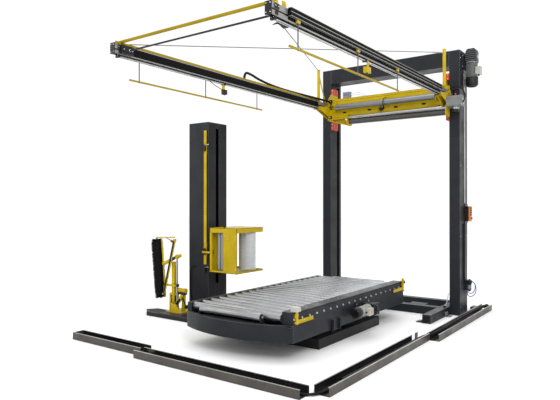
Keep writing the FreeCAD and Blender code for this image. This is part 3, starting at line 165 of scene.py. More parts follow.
def make_finishes():
    """Every finish of the machine, by name."""
    finish("charcoal", (0.0175, 0.0182, 0.0232), (0.0125, 0.0132, 0.0172), rough=0.42, bump=0.2, grain=900.0,
           dust=0.04, shine=0.2)
    finish("charcoal_edge", (0.062, 0.064, 0.075), (0.022, 0.023, 0.028), rough=0.34, bump=0.1, dust=0.0)
    finish("black_steel", (0.0055, 0.0055, 0.0065), (0.010, 0.010, 0.011), rough=0.5, bump=0.25, dust=0.05,
           shine=0.25)
    # Near black: the colour of some dark parts, and painted shade in hollows, slots and under parts.
    finish("interior", (0.004, 0.004, 0.005), (0.008, 0.008, 0.009), rough=0.6, dust=0.02, shine=0.2)
    finish("yellow", (0.53, 0.378, 0.0005), (0.415, 0.292, 0.0005), rough=0.36, bump=0.16, grain=900.0,
           dust=0.02, shine=0.16)
    # Darker copy of the yellow: painted shade for thin bars and the left boom's top strip.
    finish("yellow_shade", (0.33, 0.238, 0.0005), (0.26, 0.186, 0.0005), rough=0.42, bump=0.16, grain=900.0,
           dust=0.0, shine=0.12)
    finish("zinc", (0.40, 0.405, 0.41), (0.30, 0.305, 0.31), rough=0.27, metal=0.82, bump=0.05, grain=260.0,
           stretch=(0.5, 1, 1), dust=0.0, spread=0.06)
    finish("bolt", (0.72, 0.72, 0.71), (0.55, 0.55, 0.54), rough=0.26, metal=1.0, dust=0.0)
    finish("bright_steel", (0.46, 0.465, 0.475), (0.36, 0.365, 0.37), rough=0.2, metal=0.9, bump=0.04,
           stretch=(0.3, 1, 1), dust=0.0, spread=0.06)
    finish("duct_steel", (0.085, 0.076, 0.066), (0.055, 0.050, 0.045), rough=0.44, metal=0.35, spangle=70.0,
           streaks=12.0, bump=0.15, dust=0.04)
    # Bright lip colour: painted highlight along the turned-over channel tops.
    finish("duct_lip", (0.46, 0.44, 0.41), (0.34, 0.325, 0.30), rough=0.36, metal=0.7, spangle=90.0, dust=0.0)
    # Near black: painted shade inside the channels.
    finish("duct_inside", (0.010, 0.0105, 0.012), (0.022, 0.023, 0.026), rough=0.2, metal=0.2, dust=0.03)
    finish("black_plastic", (0.0075, 0.0075, 0.009), (0.012, 0.012, 0.0135), rough=0.40, grain=700.0,
           dust=0.04, shine=0.3)
    finish("motor_grey", (0.20, 0.215, 0.205), (0.15, 0.162, 0.155), rough=0.46, bump=0.25, grain=500.0,
           dust=0.04)
    finish("drive_grey", (0.105, 0.112, 0.112), (0.075, 0.080, 0.081), rough=0.44, bump=0.3, grain=500.0,
           dust=0.04)
    finish("cream", (0.46, 0.455, 0.415), (0.37, 0.365, 0.335), rough=0.42, bump=0.15, dust=0.03)
    finish("profile", (0.40, 0.395, 0.385), (0.30, 0.295, 0.29), rough=0.32, metal=0.75, stretch=(1, 0.05, 1),
           streaks=60.0, grain=500.0, bump=0.06, dust=0.02)
    finish("profile_dark", (0.0045, 0.0045, 0.005), (0.006, 0.006, 0.0065), rough=0.6, bump=0.0, grain=30.0,
           dust=0.0, shine=0.06)
    finish("spreader_steel", (0.27, 0.275, 0.29), (0.20, 0.205, 0.215), rough=0.3, metal=0.8, bump=0.04,
           stretch=(0.3, 1, 1), dust=0.0, spread=0.06)
    finish("orange", (0.58, 0.050, 0.012), (0.44, 0.034, 0.010), rough=0.42, bump=0.2, dust=0.02)
    finish("amber", (0.72, 0.21, 0.004), (0.62, 0.165, 0.004), rough=0.36, dust=0.02)
    finish("red_plastic", (0.40, 0.008, 0.010), (0.32, 0.006, 0.008), rough=0.26, coat=0.4, dust=0.0)
    finish("blue_plastic", (0.02, 0.05, 0.36), (0.015, 0.04, 0.28), rough=0.30, dust=0.0)
    finish("blue_tube", (0.03, 0.06, 0.44), (0.02, 0.045, 0.34), rough=0.25, coat=0.3, dust=0.0)
    finish("pale_tube", (0.40, 0.44, 0.68), (0.32, 0.36, 0.58), rough=0.25, coat=0.3, dust=0.0)
    finish("teal", (0.008, 0.055, 0.066), (0.006, 0.038, 0.048), rough=0.4, dust=0.03)
    finish("roller_rubber", (0.30, 0.31, 0.33), (0.23, 0.24, 0.26), rough=0.34, metal=0.35,
           stretch=(1, 1, 0.1), streaks=18.0, dust=0.0)
    finish("core_board", (0.34, 0.22, 0.12), (0.26, 0.165, 0.09), rough=0.75, bump=0.4, dust=0.0)
    clear_film("film_clear", (0.62, 0.64, 0.65), 0.95, 0.22)
    clear_film("sheet_film", (0.050, 0.046, 0.040), 1.0, 0.26)
    finish("cable_black", (0.005, 0.005, 0.006), (0.008, 0.008, 0.009), rough=0.5, bump=0.1, dust=0.0,
           shine=0.14)
    finish("bristle", (0.005, 0.005, 0.006), (0.009, 0.009, 0.011), rough=0.7, bump=0.5, grain=300.0,
           stretch=(1, 1, 6), dust=0.0, shine=0.15)


# ---------------------------------------------------------------- shapes

class Piece:
    """One object put together from closed solids, each with one of the piece's finishes."""

    def __init__(self, name, body, *names, slot=None, replaces=(), bevel=2.0, worn=False):
        self.name, self.body, self.names = name, body, list(names)
        self.slot = slot or next((item for item in names if item in SLOTS), "charcoal")
        self.replaces, self.bevel, self.worn = replaces, bevel, worn
        self.mesh = bmesh.new()

    def colour(self, verts, paint):
        for face in {face for vert in verts for face in vert.link_faces}:
            face.material_index = paint

    def box(self, first, last, paint=0):
        """Box between two opposite corners, in either order."""
        low, high = (Vector(map(pick, first, last)) for pick in (min, max))
        matrix = Matrix.Translation((low + high) / 2) @ Matrix.Diagonal((*(high - low), 1))
        self.colour(bmesh.ops.create_cube(self.mesh, size=1.0, matrix=matrix)["verts"], paint)

    def rod(self, start, end, radius, paint=0, sides=32, tip=None):
        start, end = Vector(start), Vector(end)
        turn = (end - start).to_track_quat("Z", "Y").to_matrix().to_4x4()
        made = bmesh.ops.create_cone(self.mesh, cap_ends=True, segments=sides, radius1=radius,
                                     radius2=radius if tip is None else tip, depth=(end - start).length,
                                     matrix=Matrix.Translation((start + end) / 2) @ turn)
        self.colour(made["verts"], paint)

    def turned(self, start, direction, outline, paint=0, sides=48):
        """Solid of revolution from (distance along, radius) points, closed at both ends."""
        start, turn = Vector(start), Vector(direction).normalized().to_track_quat("Z", "Y")
        rings = [[self.mesh.verts.new(start + turn @ Vector((u, v, along))) for u, v in ring(sides, radius)]
                 for along, radius in outline]
        made = [self.mesh.faces.new(rings[0][::-1]), self.mesh.faces.new(rings[-1])]
        for (first, second), step in itertools.product(zip(rings, rings[1:]), range(sides)):
            after = (step + 1) % sides
            made.append(self.mesh.faces.new((first[step], first[after], second[after], second[step])))
        for face in made:
            face.material_index = paint

    def extruded(self, axis, outline, start, end, paint=0):
        """Closed outline of the two other coordinates, in x, y, z order, carried along an axis."""
        def point(u, v, along):
            return {"x": (along, u, v), "y": (u, along, v), "z": (u, v, along)}[axis]
        low = [self.mesh.verts.new(point(u, v, start)) for u, v in outline]
        high = [self.mesh.verts.new(point(u, v, end)) for u, v in outline]
        made = [self.mesh.faces.new(low[::-1]), self.mesh.faces.new(high)]
        for step in range(len(outline)):
            following = (step + 1) % len(outline)
            made.append(self.mesh.faces.new((low[step], low[following], high[following], high[step])))
        for face in made:
            face.material_index = paint

    def bolt(self, at, axis, size=9.0, paint=0):
        """Hex head on a washer, standing out along an axis from a face."""
        at, out = Vector(at), Vector(axis)
        self.rod(at, at + out * size * 0.22, size * 1.35, paint, 20)
        self.rod(at + out * size * 0.2, at + out * size * 0.95, size, paint, 6)

    def finned(self, start, axis, length, radius, depth, count, paint=0):
        """Round motor housing with cooling fins along it."""
        along = "xyz".index(axis)
        u, v = (start[index] for index in range(3) if index != along)
        outline = []
        for step in range(count):
            for share, reach in ((0.0, radius - depth), (0.48, radius - depth), (0.56, radius),
                                 (0.92, radius)):
                angle = math.tau * (step + share) / count
                outline.append((u + reach * math.cos(angle), v + reach * math.sin(angle)))
        self.extruded(axis, outline, start[along], start[along] + length, paint)

    def channel(self, low, high, wall, slot, slot_z, top):
        """Folded sheet column with a slot in the side that faces the given X direction."""
        side, first, last = slot
        near_x, far_x = (high[0], low[0]) if side > 0 else (low[0], high[0])
        step = -wall * side
        outline = [(near_x, first), (near_x, low[1]), (far_x, low[1]), (far_x, high[1]), (near_x, high[1]),
                   (near_x, last), (near_x + step, last), (near_x + step, high[1] - wall),
                   (far_x - step, high[1] - wall), (far_x - step, low[1] + wall),
                   (near_x + step, low[1] + wall), (near_x + step, first)]
        self.extruded("z", outline, low[2], top)
        inner, outer = sorted((near_x, near_x + step))
        self.box((inner, first, low[2]), (outer, last, slot_z[0]))
        self.box((inner, first, slot_z[1]), (outer, last, top))
        self.box((low[0], low[1], top), (high[0], high[1], high[2]))

    def boxes(self, paint, *corners):
        """Boxes of one finish, each from two opposite corners."""
        for first, last in zip(corners[::2], corners[1::2]):
            self.box(first, last, paint)

    def bolts(self, xs, ys, zs, axis, size=9.0, paint=0):
        """Bolts at every meeting of the given X, Y and Z places."""
        for at in itertools.product(each(xs), each(ys), each(zs)):
            self.bolt(at, axis, size, paint)

    def grille(self, centre, axis, rows, first, paint=1):
        """Rings of small studs over a fan cowl, standing out along an axis."""
        for row in range(rows):
            for u, v in ring(12 + 6 * row, first + 11 * row):
                place = Vector(centre) + (Vector((u, 0, v)) if axis[1] else Vector((u, v, 0)))
                self.rod(place, place + Vector(axis), 2.2, paint, 8)

    def ready(self):
        """Makes the object, rounds its edges, sets it on its body and hides the CAD nodes it stands for."""
        bmesh.ops.recalc_face_normals(self.mesh, faces=self.mesh.faces)
        bmesh.ops.scale(self.mesh, vec=(MM, MM, MM), verts=self.mesh.verts)
        data = bpy.data.meshes.new(self.name)
        self.mesh.to_mesh(data)
        self.mesh.free()
        for name in self.names:
            data.materials.append(finishes[name])
        data.shade_smooth()
        data.set_sharp_from_angle(angle=math.radians(32))
        piece = bpy.data.objects.new(self.name, data)
        bpy.context.scene.collection.objects.link(piece)
        if self.bevel:
            rounding = piece.modifiers.new("edges", "BEVEL")
            rounding.width = self.bevel * MM
            rounding.segments = 2
            rounding.limit_method = "ANGLE"
            rounding.angle_limit = math.radians(50)
            rounding.harden_normals = True
            if self.worn:
                data.materials.append(finishes[self.names[0] + "_edge"])
                rounding.material = len(self.names)
        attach(piece, self.body)
        if self.replaces:
            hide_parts(*self.replaces)
        return piece


def lead(name, body, points, radius, paint="cable_black", replaces=()):
    """Round cable, tube or hose on one smooth curve, from route points in millimetres."""
    curve = bpy.data.curves.new(name, "CURVE")
    curve.dimensions = "3D"
    spline = curve.splines.new("NURBS")
    spline.points.add(len(points) - 1)
    for item, point in zip(spline.points, points):
        item.co = (*(Vector(point) * MM), 1)
    spline.order_u = 3
    spline.use_endpoint_u = True
    spline.resolution_u = 16
    curve.bevel_depth = radius * MM
    curve.bevel_resolution = 5
    curve.use_fill_caps = True
    curve.materials.append(finishes[paint])
    piece = bpy.data.objects.new(name, curve)
    bpy.context.scene.collection.objects.link(piece)
    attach(piece, body)
    if replaces:
        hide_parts(*replaces)
    return piece


def arc(radius, first, last, side, count=28):
    """Points of a circle round the origin between two X places, on the +Y or -Y side."""
    turns = [math.asin(first / radius), math.asin(last / radius)]
    steps = [turns[0] + (turns[1] - turns[0]) * step / count for step in range(count + 1)]
    return [(radius * math.sin(a), side * radius * math.cos(a)) for a in steps]


# ---------------------------------------------------------------- turntable

TABLE_LEFT, TABLE_RIGHT = span("table_frame")[0][0], span("table_frame")[1][0]
TABLE_R = span("table_frame")[1][1]
SKIRT_LOW, SKIRT_TOP = 200, 370
SIDE_HIGH = span("table_side_right")[1]
BOX_INNER = 597
AXLE_Z = 430
PITCH = 138.5
ROLLERS = 20


def table_platform():
    """Turntable deck with curved end skirts, trays, cross members and its drum."""
    piece = Piece("table_platform", "turntable", "charcoal", replaces=["table_frame"], bevel=1.6, worn=True)
    for side in (-1, 1):
        outer = arc(TABLE_R, TABLE_LEFT, TABLE_RIGHT, side)
        inner = arc(TABLE_R - 8, TABLE_RIGHT, TABLE_LEFT, side)
        piece.extruded("z", outer + inner, SKIRT_LOW, SKIRT_TOP)
        rim = arc(TABLE_R - 1, TABLE_LEFT + 2, TABLE_RIGHT - 2, side) + arc(TABLE_R - 34, TABLE_RIGHT - 2,
                                                                         TABLE_LEFT + 2, side)
        piece.extruded("z", rim, SKIRT_TOP - 5, SKIRT_TOP + 1.5)
        tray = arc(TABLE_R - 30, TABLE_LEFT + 3, TABLE_RIGHT - 3, side)
        tray += [(TABLE_RIGHT - 3, side * 1380), (TABLE_LEFT + 3, side * 1380)]
        piece.extruded("z", tray, SKIRT_TOP - 14, SKIRT_TOP - 5)
        piece.box((TABLE_LEFT + 10, side * 1374, SKIRT_LOW + 11), (BOX_INNER - 2, side * 1380, SKIRT_TOP - 6))
    floor = arc(TABLE_R - 9, TABLE_LEFT + 2, BOX_INNER, -1) + arc(TABLE_R - 9, BOX_INNER, TABLE_LEFT + 2, 1)
    piece.extruded("z", floor, SKIRT_LOW, SKIRT_LOW + 12)
    for along in (-900, -340, 340, 900):
        piece.box((TABLE_LEFT + 60, along - 40, SKIRT_LOW + 11), (BOX_INNER, along + 40, SKIRT_LOW + 146))
        piece.box((TABLE_LEFT + 60, along - 52, SKIRT_LOW + 140), (BOX_INNER, along + 52, SKIRT_LOW + 150))
    half = math.sqrt((TABLE_R - 8) ** 2 - TABLE_LEFT ** 2)
    piece.box((TABLE_LEFT, -half, SKIRT_LOW), (TABLE_LEFT + 60, half, 462))
    piece.box((TABLE_LEFT, -half + 1, 464), (TABLE_LEFT + 60, half - 1, 467))
    piece.turned((0, 0, 126), UP, [(0, 372), (6, 380), (34, 380), (38, 450), (75, 450)], sides=96)
    piece.ready()


def table_side():
    """Chain-side cover in three lids, with a guard bracket and a row of lid screws."""
    half = SIDE_HIGH[1]
    piece = Piece("chain_side_cover", "turntable", "charcoal", replaces=["table_side_right"], bevel=2.2,
                  worn=True)
    piece.box((BOX_INNER, -half, SKIRT_LOW), (TABLE_RIGHT, half, 482))
    joints = [-half, -442, 442, half]
    for first, last in zip(joints, joints[1:]):
        piece.boxes(0, (BOX_INNER - 1.5, first + 1.5, 484), (TABLE_RIGHT + 2, last - 1.5, 495),
                    (TABLE_RIGHT - 1, first + 1.5, 470), (TABLE_RIGHT + 2, last - 1.5, 495))
    for low, high in ((-600, -590), (-460, -450)):
        piece.box((TABLE_RIGHT - 1, low, 185), (TABLE_RIGHT + 33, high, 310))
    piece.box((TABLE_RIGHT, -600, 185), (TABLE_RIGHT + 6, -450, 310))
    piece.ready()
    screws = Piece("side_cover_screws", "turntable", "bolt", bevel=0.4)
    for along in range(-1210, 1220, 220):
        screws.rod((667, along, 494), (667, along, 497.5), 6.5, 0, 20)
    screws.ready()


def axles():
    """Roller axles with their end bolts, and the brackets of the two end rollers."""
    piece = Piece("axle_bolts", "turntable", "bolt", replaces=["roller_axles"], bevel=0.5)
    reach = PITCH * (ROLLERS - 1) / 2
    for index in range(ROLLERS):
        along = index * PITCH - reach
        piece.rod((TABLE_LEFT, along, AXLE_Z), (TABLE_RIGHT, along, AXLE_Z), 7, 0, 16)
        piece.bolt((TABLE_RIGHT, along, AXLE_Z), RIGHT, 9)
        piece.bolt((TABLE_LEFT, along, AXLE_Z), LEFT, 8)
    brackets = Piece("end_roller_brackets", "turntable", "black_plastic", slot="charcoal", bevel=1.2)
    for along in (-reach - 92, reach + 92):
        piece.rod((-424, along, AXLE_Z), (424, along, AXLE_Z), 7, 0, 16)
        outline = [(along - 30, 361), (along + 30, 361), (along + 30, 392), (along + 16, AXLE_Z + 16),
                   (along - 16, AXLE_Z + 16), (along - 30, 392)]
        for end in (-1, 1):
            piece.bolt((end * 420, along, AXLE_Z), (end, 0, 0), 10)
            brackets.extruded("x", outline, end * 412, end * 420)
            brackets.box((end * 412, along - 30, 361), (end * 452, along + 30, 367))
    piece.ready()
    brackets.ready()


def conveyor_roller(node):
    """Zinc-plated tube with rolled-in ends and a dark bearing housing round its axle."""
    low, high = span(node)
    length, radius = high[0] - low[0], (high[2] - low[2]) / 2
    start = (low[0], (low[1] + high[1]) / 2, (low[2] + high[2]) / 2)
    piece = Piece(node + "_tube", node, "zinc", "black_plastic", "bolt", replaces=[node], bevel=0,
                  slot="zinc")
    outline = [(3.5, radius - 9), (0.6, radius - 7), (0, radius - 5), (0, radius - 3), (0.9, radius - 1),
               (3, radius), (length - 3, radius), (length - 0.9, radius - 1), (length, radius - 3),
               (length, radius - 5), (length - 0.6, radius - 7), (length - 3.5, radius - 9)]
    piece.turned(start, RIGHT, outline, 0, 56)
    for at, out in ((0, 1), (length, -1)):
        base = Vector(start) + Vector((at, 0, 0))
        piece.turned(base + Vector((out * 3.3, 0, 0)), (-out, 0, 0),
                     [(0, radius - 8.6), (1.2, radius - 9.4), (1.2, 15), (2.6, 14), (2.6, 11)], 1, 40)
        piece.turned(base + Vector((out * 0.6, 0, 0)), (-out, 0, 0), [(0, 10.8), (0.6, 10.2), (0.6, 7.4)], 2,
                     24)
    piece.ready()


def conveyor_drive():
    """Finned motor with a fan cowl, gearbox, flange and terminal box."""
    axis_x, axis_z = TABLE_RIGHT + 84, 318
    gear_y, reach = 170, span("conveyor_gearmotor")[1][0]
    motor = Piece("conveyor_motor", "turntable", "cream", "black_plastic", "charcoal", "bolt", "yellow",
                  replaces=["conveyor_gearmotor"], bevel=1.4, slot="cream")
    motor.rod((axis_x, -146, axis_z), (axis_x, 84, axis_z), 53, 0, 48)
    motor.finned((axis_x, -140, axis_z), "y", 212, 60, 8, 40)
    motor.turned((axis_x, 72, axis_z), BACK, [(0, 62), (5, 65), (14, 65), (24, 58)])
    motor.turned((axis_x, -138, axis_z), FRONT,
                 [(0, 64), (4, 66), (62, 66), (76, 60), (85, 50), (86, 44), (82, 42), (82, 5), (86, 4)], 1)
    motor.grille((axis_x, -221, axis_z), (0, -3.5, 0), 3, 14)
    motor.boxes(2, (TABLE_RIGHT, -60, 235), (TABLE_RIGHT + 12, 270, 405),
                (TABLE_RIGHT + 10, 95, 252), (reach - 24, 243, 384))
    for level in (258, 372):
        motor.box((TABLE_RIGHT + 12, 91, level), (reach - 20, 247, level + 8), 2)
    motor.turned((reach - 26, gear_y, axis_z), RIGHT, [(0, 52), (8, 52), (8, 40), (22, 38), (25, 34)], 2, 40)
    for u, v in ring(6, 45, 0.5):
        motor.bolt((reach - 19, gear_y + u, axis_z + v), RIGHT, 4.5, 3)
    motor.boxes(0, (axis_x + 40, -57, axis_z - 40), (axis_x + 92, 42, axis_z + 34),
                (axis_x + 88, -60, axis_z - 43), (axis_x + 100, 45, axis_z + 37))
    motor.bolts(axis_x + 100, (-51, 36), (axis_z - 35, axis_z + 29), RIGHT, 3.5, 3)
    motor.box((axis_x + 99, -34, axis_z - 18), (axis_x + 101, 12, axis_z + 10), 4)
    motor.rod((axis_x + 66, -57, axis_z - 4), (axis_x + 66, -80, axis_z - 4), 9, 1, 16)
    motor.bolts(TABLE_RIGHT + 12, (-44, 254), (250, 388), RIGHT, 7, 3)
    motor.ready()


def photocells():
    """Yellow sensor brackets at both ends of the table, with their heads."""
    face = TABLE_RIGHT
    yellow = Piece("photocell_brackets", "turntable", "yellow", "bolt", replaces=["sensor_brackets"],
                   bevel=1.0)
    heads = Piece("photocell_near", "turntable", "cream", "black_plastic", "interior", bevel=3.0)
    small = Piece("photocell_far", "turntable", "black_plastic", "red_plastic", bevel=2.0)
    for first, middle in ((-1300, -1290), (990, 1290)):
        yellow.boxes(0, (face + 7, first, 385), (face + 13, first + 310, 421),
                     (face + 7, first, 385), (face + 22, first + 310, 390),
                     (face, middle - 20, 440), (face + 8, middle + 20, 486),
                     (face + 7, middle - 14, 380), (face + 23, middle + 14, 504),
                     (face + 4, middle - 26, 392), (face + 18, middle + 26, 410))
        yellow.bolts(face + 13, (first + 20, first + 150, first + 290), 405, RIGHT, 5, 1)
        yellow.bolts(face + 22, middle, (400, 470), RIGHT, 6, 1)
    heads.box((face - 45, -1315, 503), (face + 33, -1245, 547))
    heads.box((face - 48, -1302, 510), (face - 44, -1258, 540), 2)
    heads.rod((face + 4, -1244, 525), (face + 4, -1230, 525), 7, 1, 16)
    small.box((face - 4, 1300, 466), (face + 30, 1336, 506))
    small.rod((face - 4, 1318, 486), (face - 8, 1318, 486), 9, 1, 20)
    yellow.boxes(0, (face + 6, 1262, 504), (face + 24, 1300, 540),
                 (face - 30, 1250, 500), (face + 33, 1312, 504))
    for piece in (yellow, heads, small):
        piece.ready()


def floor_frame():
    """Welded base frame, slewing race and the drive that turns the table."""
    half_x, half_y = span("turntable_base")[1][:2]
    top, beam = 110, 120
    # Near-black frame: dark steel, made darker still as painted shade under the turntable.
    piece = Piece("base_frame_welded", "floor_frame", "interior", "black_steel", replaces=["turntable_base"],
                  bevel=3.0, slot="charcoal")
    for side in (-1, 1):
        piece.box((side * (half_x - beam), -half_y, 0), (side * half_x, half_y, top), 1)
        piece.box((-half_x + beam, side * (half_y - beam), 0), (half_x - beam, side * half_y, top), 1)
        piece.box((side * 260 - 60, -half_y + beam, 0), (side * 260 + 60, half_y - beam, top))
    piece.turned((0, 0, 0), UP, [(0, 450), (top, 450)], 0, 96)
    piece.ready()
    race = Piece("slewing_race", "floor_frame", "bright_steel", replaces=["slewing_ring"], bevel=1.2,
                 slot="zinc")
    for low, high, outer in ((0, 14, 450), (14, 19, 444), (19, 50, 450)):
        race.turned((0, 0, top + low), UP, [(0, 381), (0, outer), (high - low, outer), (high - low, 381)], 0,
                    96)
    race.ready()
    low, high = span("table_gearmotor")
    middle = (low[0] + high[0]) / 2
    drive = Piece("table_drive", "floor_frame", "motor_grey", "black_plastic", "bolt",
                  replaces=["table_gearmotor"], bevel=2.0)
    drive.boxes(0, (low[0], 140, 0), (high[0], 320, 20), (low[0] + 8, 146, 20), (high[0] - 8, 316, 150))
    drive.finned((middle, 322, 85), "y", 236, 58, 7, 36)
    drive.rod((middle, 318, 85), (middle, 560, 85), 50, 0, 40)
    drive.turned((middle, 558, 85), BACK, [(0, 60), (3, 62), (44, 62), (58, 54), (61, 46)], 1, 40)
    drive.rod((middle, 230, 148), (middle, 230, 180), 22, 2)
    drive.bolts((low[0] + 18, high[0] - 18), (155, 305), 19, UP, 8, 2)
    drive.ready()


# ---------------------------------------------------------------- film mast and carriage

MAST_X, MAST_Y = -1550, -83
MAST_BACK, MAST_FAR, MAST_TOP = -1925, 300, 2700
SOLE = 90
SLOT_LOW, SLOT_HIGH = 70, 133


def mast():
    """Film mast with its slot, the belt run behind it, doors, fittings and cable."""
    left, right = MAST_BACK, MAST_X
    piece = Piece("mast_shell", "floor_frame", "charcoal", replaces=["mast_column"], bevel=3.0, worn=True)
    piece.channel((left, MAST_Y, SOLE), (right, MAST_FAR, MAST_TOP), 8, (1, SLOT_LOW, SLOT_HIGH), (420, 2620),
                  MAST_TOP - 8)
    for low, high in ((260, 1420), (1426, 2600)):
        piece.box((left - 3, MAST_Y + 30, low), (left + 2, MAST_FAR - 30, high))
    piece.ready()
    inside = Piece("mast_lift_inside", "floor_frame", "interior", "black_plastic", "bolt", bevel=1.0,
                   slot="black_plastic")
    # Near-black plate behind the slot: painted shade inside the mast.
    inside.box((right - 200, SLOT_LOW - 70, SOLE), (right - 130, SLOT_HIGH + 70, MAST_TOP - 14))
    for level in range(440, 440 + 66 * 33, 33):
        inside.box((right - 130, SLOT_LOW + 18, level), (right - 116, SLOT_HIGH - 18, level + 20), 1)
    for along in (SLOT_LOW - 22, SLOT_HIGH + 8):
        inside.box((right - 120, along, 430), (right - 104, along + 14, 2610), 2)
    inside.ready()
    trim = Piece("mast_fittings", "floor_frame", "black_plastic", "bolt", bevel=0.8)
    trim.turned((right - 250, MAST_Y + 1, 664), FRONT, [(0, 19), (3, 19), (5, 16), (13, 13), (14, 8)], 0, 24)
    for level in (420, 1260, 1600, 2440):
        trim.box((left - 9, MAST_Y + 38, level), (left - 2, MAST_Y + 62, level + 70))
    for level in (840, 2010):
        trim.rod((left - 3, MAST_FAR - 56, level), (left - 10, MAST_FAR - 56, level), 14, 0, 24)
    trim.bolts((left + 40, right - 40), MAST_FAR, (150, 900, 1650, 2400), BACK, 6, 1)
    trim.ready()
    lane = MAST_Y - 12
    lead("mast_cable_lead", "floor_frame",
         [(right - 250, MAST_Y - 10, 664), (right - 252, MAST_Y - 44, 672), (right - 300, MAST_Y - 40, 650),
          (right - 344, lane, 560), (right - 352, lane, 441), (right - 344, lane, 280),
          (right - 300, lane + 4, SOLE)], 8)


def switch_rail():
    """Yellow rail down the mast, with three limit switches."""
    rail = Piece("switch_rail_strip", "floor_frame", "yellow", replaces=["mast_switch_rail"], bevel=1.0)
    left, right, middle = MAST_X - 78, MAST_X - 26, MAST_X - 52
    for first, last in ((1000, 2255), (2385, 2580), (700, 812)):
        rail.boxes(0, (left, MAST_Y - 14, first), (right, MAST_Y, last), (left, MAST_Y - 14, first),
                   (left + 4, MAST_Y, last))
    rail.box((left, MAST_Y - 10, 700), (right, MAST_Y, 2580))
    rail.ready()
    switches = Piece("limit_switches", "floor_frame", "black_plastic", "bright_steel", "bolt", bevel=1.5)
    for level in (2300, 590, 850):
        switches.box((middle - 18, MAST_Y - 34, level), (middle + 18, MAST_Y - 10, level + 60))
        switches.turned((middle, MAST_Y - 22, level + 58), UP, [(0, 15), (14, 15), (20, 10)], 0, 20)
        switches.rod((middle, MAST_Y - 22, level), (middle, MAST_Y - 22, level - 16), 8, 0, 16)
    for level in (2300, 590):
        switches.rod((MAST_X - 50, MAST_Y - 30, level + 70), (MAST_X + 20, MAST_Y - 30, level + 78), 3.5, 1,
                     12)
        switches.turned((MAST_X + 20, MAST_Y - 24, level + 78), FRONT, [(0, 9), (8, 9)], 1, 20)
    switches.bolts(middle, MAST_Y - 13, (720, 1040, 1500, 1960, 2440, 2560), FRONT, 5, 2)
    switches.ready()


def mast_base():
    """Foot frame of the mast with its long ski and anchor plate."""
    piece = Piece("mast_floor_frame", "floor_frame", "charcoal", "interior", "black_steel",
                  replaces=["mast_base_frame"], bevel=3.0, worn=True)
    tip, end, front, back = -2360, -662, -620, -370
    ski = [(tip, front + 125), (tip + 150, front), (end, front), (end, back), (tip + 100, back)]
    inner = [(tip + 60, front + 125), (tip + 165, front + 30), (end - 28, front + 30), (end - 28, back - 30),
             (tip + 122, back - 30)]
    piece.extruded("z", ski, 0, 55, 2)
    piece.extruded("z", inner, 54, 57, 1)
    piece.boxes(0, (MAST_BACK - 60, MAST_Y - 40, 0), (end, MAST_Y + 90, SOLE),
                (MAST_BACK - 60, 210, 0), (-1350, 340, SOLE), (MAST_BACK - 60, front + 10, 0),
                (-1610, MAST_FAR, 60), (MAST_BACK - 40, MAST_Y - 35, SOLE - 14),
                (MAST_X + 40, MAST_FAR + 35, SOLE))
    for x_at in (MAST_BACK + 30, MAST_X - 40):
        piece.extruded("x", [(MAST_Y - 33, SOLE), (MAST_Y, SOLE), (MAST_Y, SOLE + 60)], x_at, x_at + 10)
    piece.ready()


FILM_NEAR, FILM_FAR, FILM_FRONT, FILM_BACK = -1430, -960, -175, 400
FILM_LOW, FILM_HIGH = 614, 1223


def film_carriage():
    """Pre-stretch carriage: back block, head and foot trays, door, knob and rollers."""
    near, far, front, back, low, high = FILM_NEAR, FILM_FAR, FILM_FRONT, FILM_BACK, FILM_LOW, FILM_HIGH
    head, door, arm_z = high - 66, near + 232, low + 250
    piece = Piece("film_carriage_frame", "film_carriage", "yellow", "interior", "bolt", "black_plastic",
                  replaces=["film_carriage"], bevel=1.6)
    walls = (((near, front), (far, front + 5)), ((near, back - 5), (far, back)),
             ((far - 5, front), (far, back)))
    for first, last in walls:
        piece.boxes(0, (*first, head), (*last, high), (*first, low), (*last, low + 26))
    piece.boxes(0, (near, front, high - 6), (far, back, high), (near, front, head), (near + 5, back, high),
                (near, front, low), (far, back, low + 6), (near - 12, front + 5, low),
                (near + 2, back - 5, high), (near, front, low + 20), (near + 26, front + 26, head + 2),
                (door, front + 3, low + 20), (far - 4, front + 9, head + 2),
                (door, front - 1, low + 28), (door + 5, front + 5, head - 8),
                (MAST_X - 66, MAST_Y - 58, arm_z), (near - 6, MAST_Y - 44, arm_z + 26),
                (near - 12, front + 5, arm_z - 10), (near + 2, MAST_Y - 20, arm_z + 36))
    # Near-black sheet inside the head tray: painted shade in the recess; a near-black panel on the near face.
    piece.boxes(1, (near + 4, front + 4, head), (far - 4, back - 4, head + 5),
                (near - 13, front + 30, low + 40), (near - 10, back - 30, high - 90))
    piece.boxes(3, (MAST_X - 40, SLOT_LOW + 2, low + 120), (near - 8, SLOT_HIGH - 2, low + 460),
                (MAST_X - 60, SLOT_LOW - 50, low + 120), (MAST_X - 14, SLOT_HIGH + 50, low + 460))
    piece.rod((door + 96, front + 4, head - 90), (door + 96, front - 9, head - 90), 8, 2, 20)
    piece.bolts((door + 18, far - 22), front + 3, (low + 60, head - 40), FRONT, 5, 2)
    piece.rod((far - 135, back - 180, low + 20), (far - 135, back - 180, head), 37.5, 3)
    piece.bolt((MAST_X + 70, MAST_Y - 58, arm_z + 13), FRONT, 6, 2)
    piece.turned((near + 210, front + 60, high - 1), UP, [(0, 10), (8, 10), (10, 20), (14, 23), (22, 23),
                                                          (27, 18)],
                 3, 28)
    piece.ready()
    length = high - low - 96
    sleeve = [(0, 22), (1, 26), (4, 27), (length - 4, 27), (length - 1, 26), (length, 22)]
    for name, x_at in (("stretch_roller_1", near + 112), ("stretch_roller_2", near + 171)):
        roller = Piece(name + "_sleeve", name, "roller_rubber", "bolt", replaces=[name], bevel=0.8)
        roller.turned((x_at, front + 70, low + 28), UP, sleeve, 0, 40)
        axle_low, axle_high = span(name)
        roller.rod((x_at, front + 70, axle_low[2]), (x_at, front + 70, axle_high[2]), 10, 1, 20)
        roller.ready()


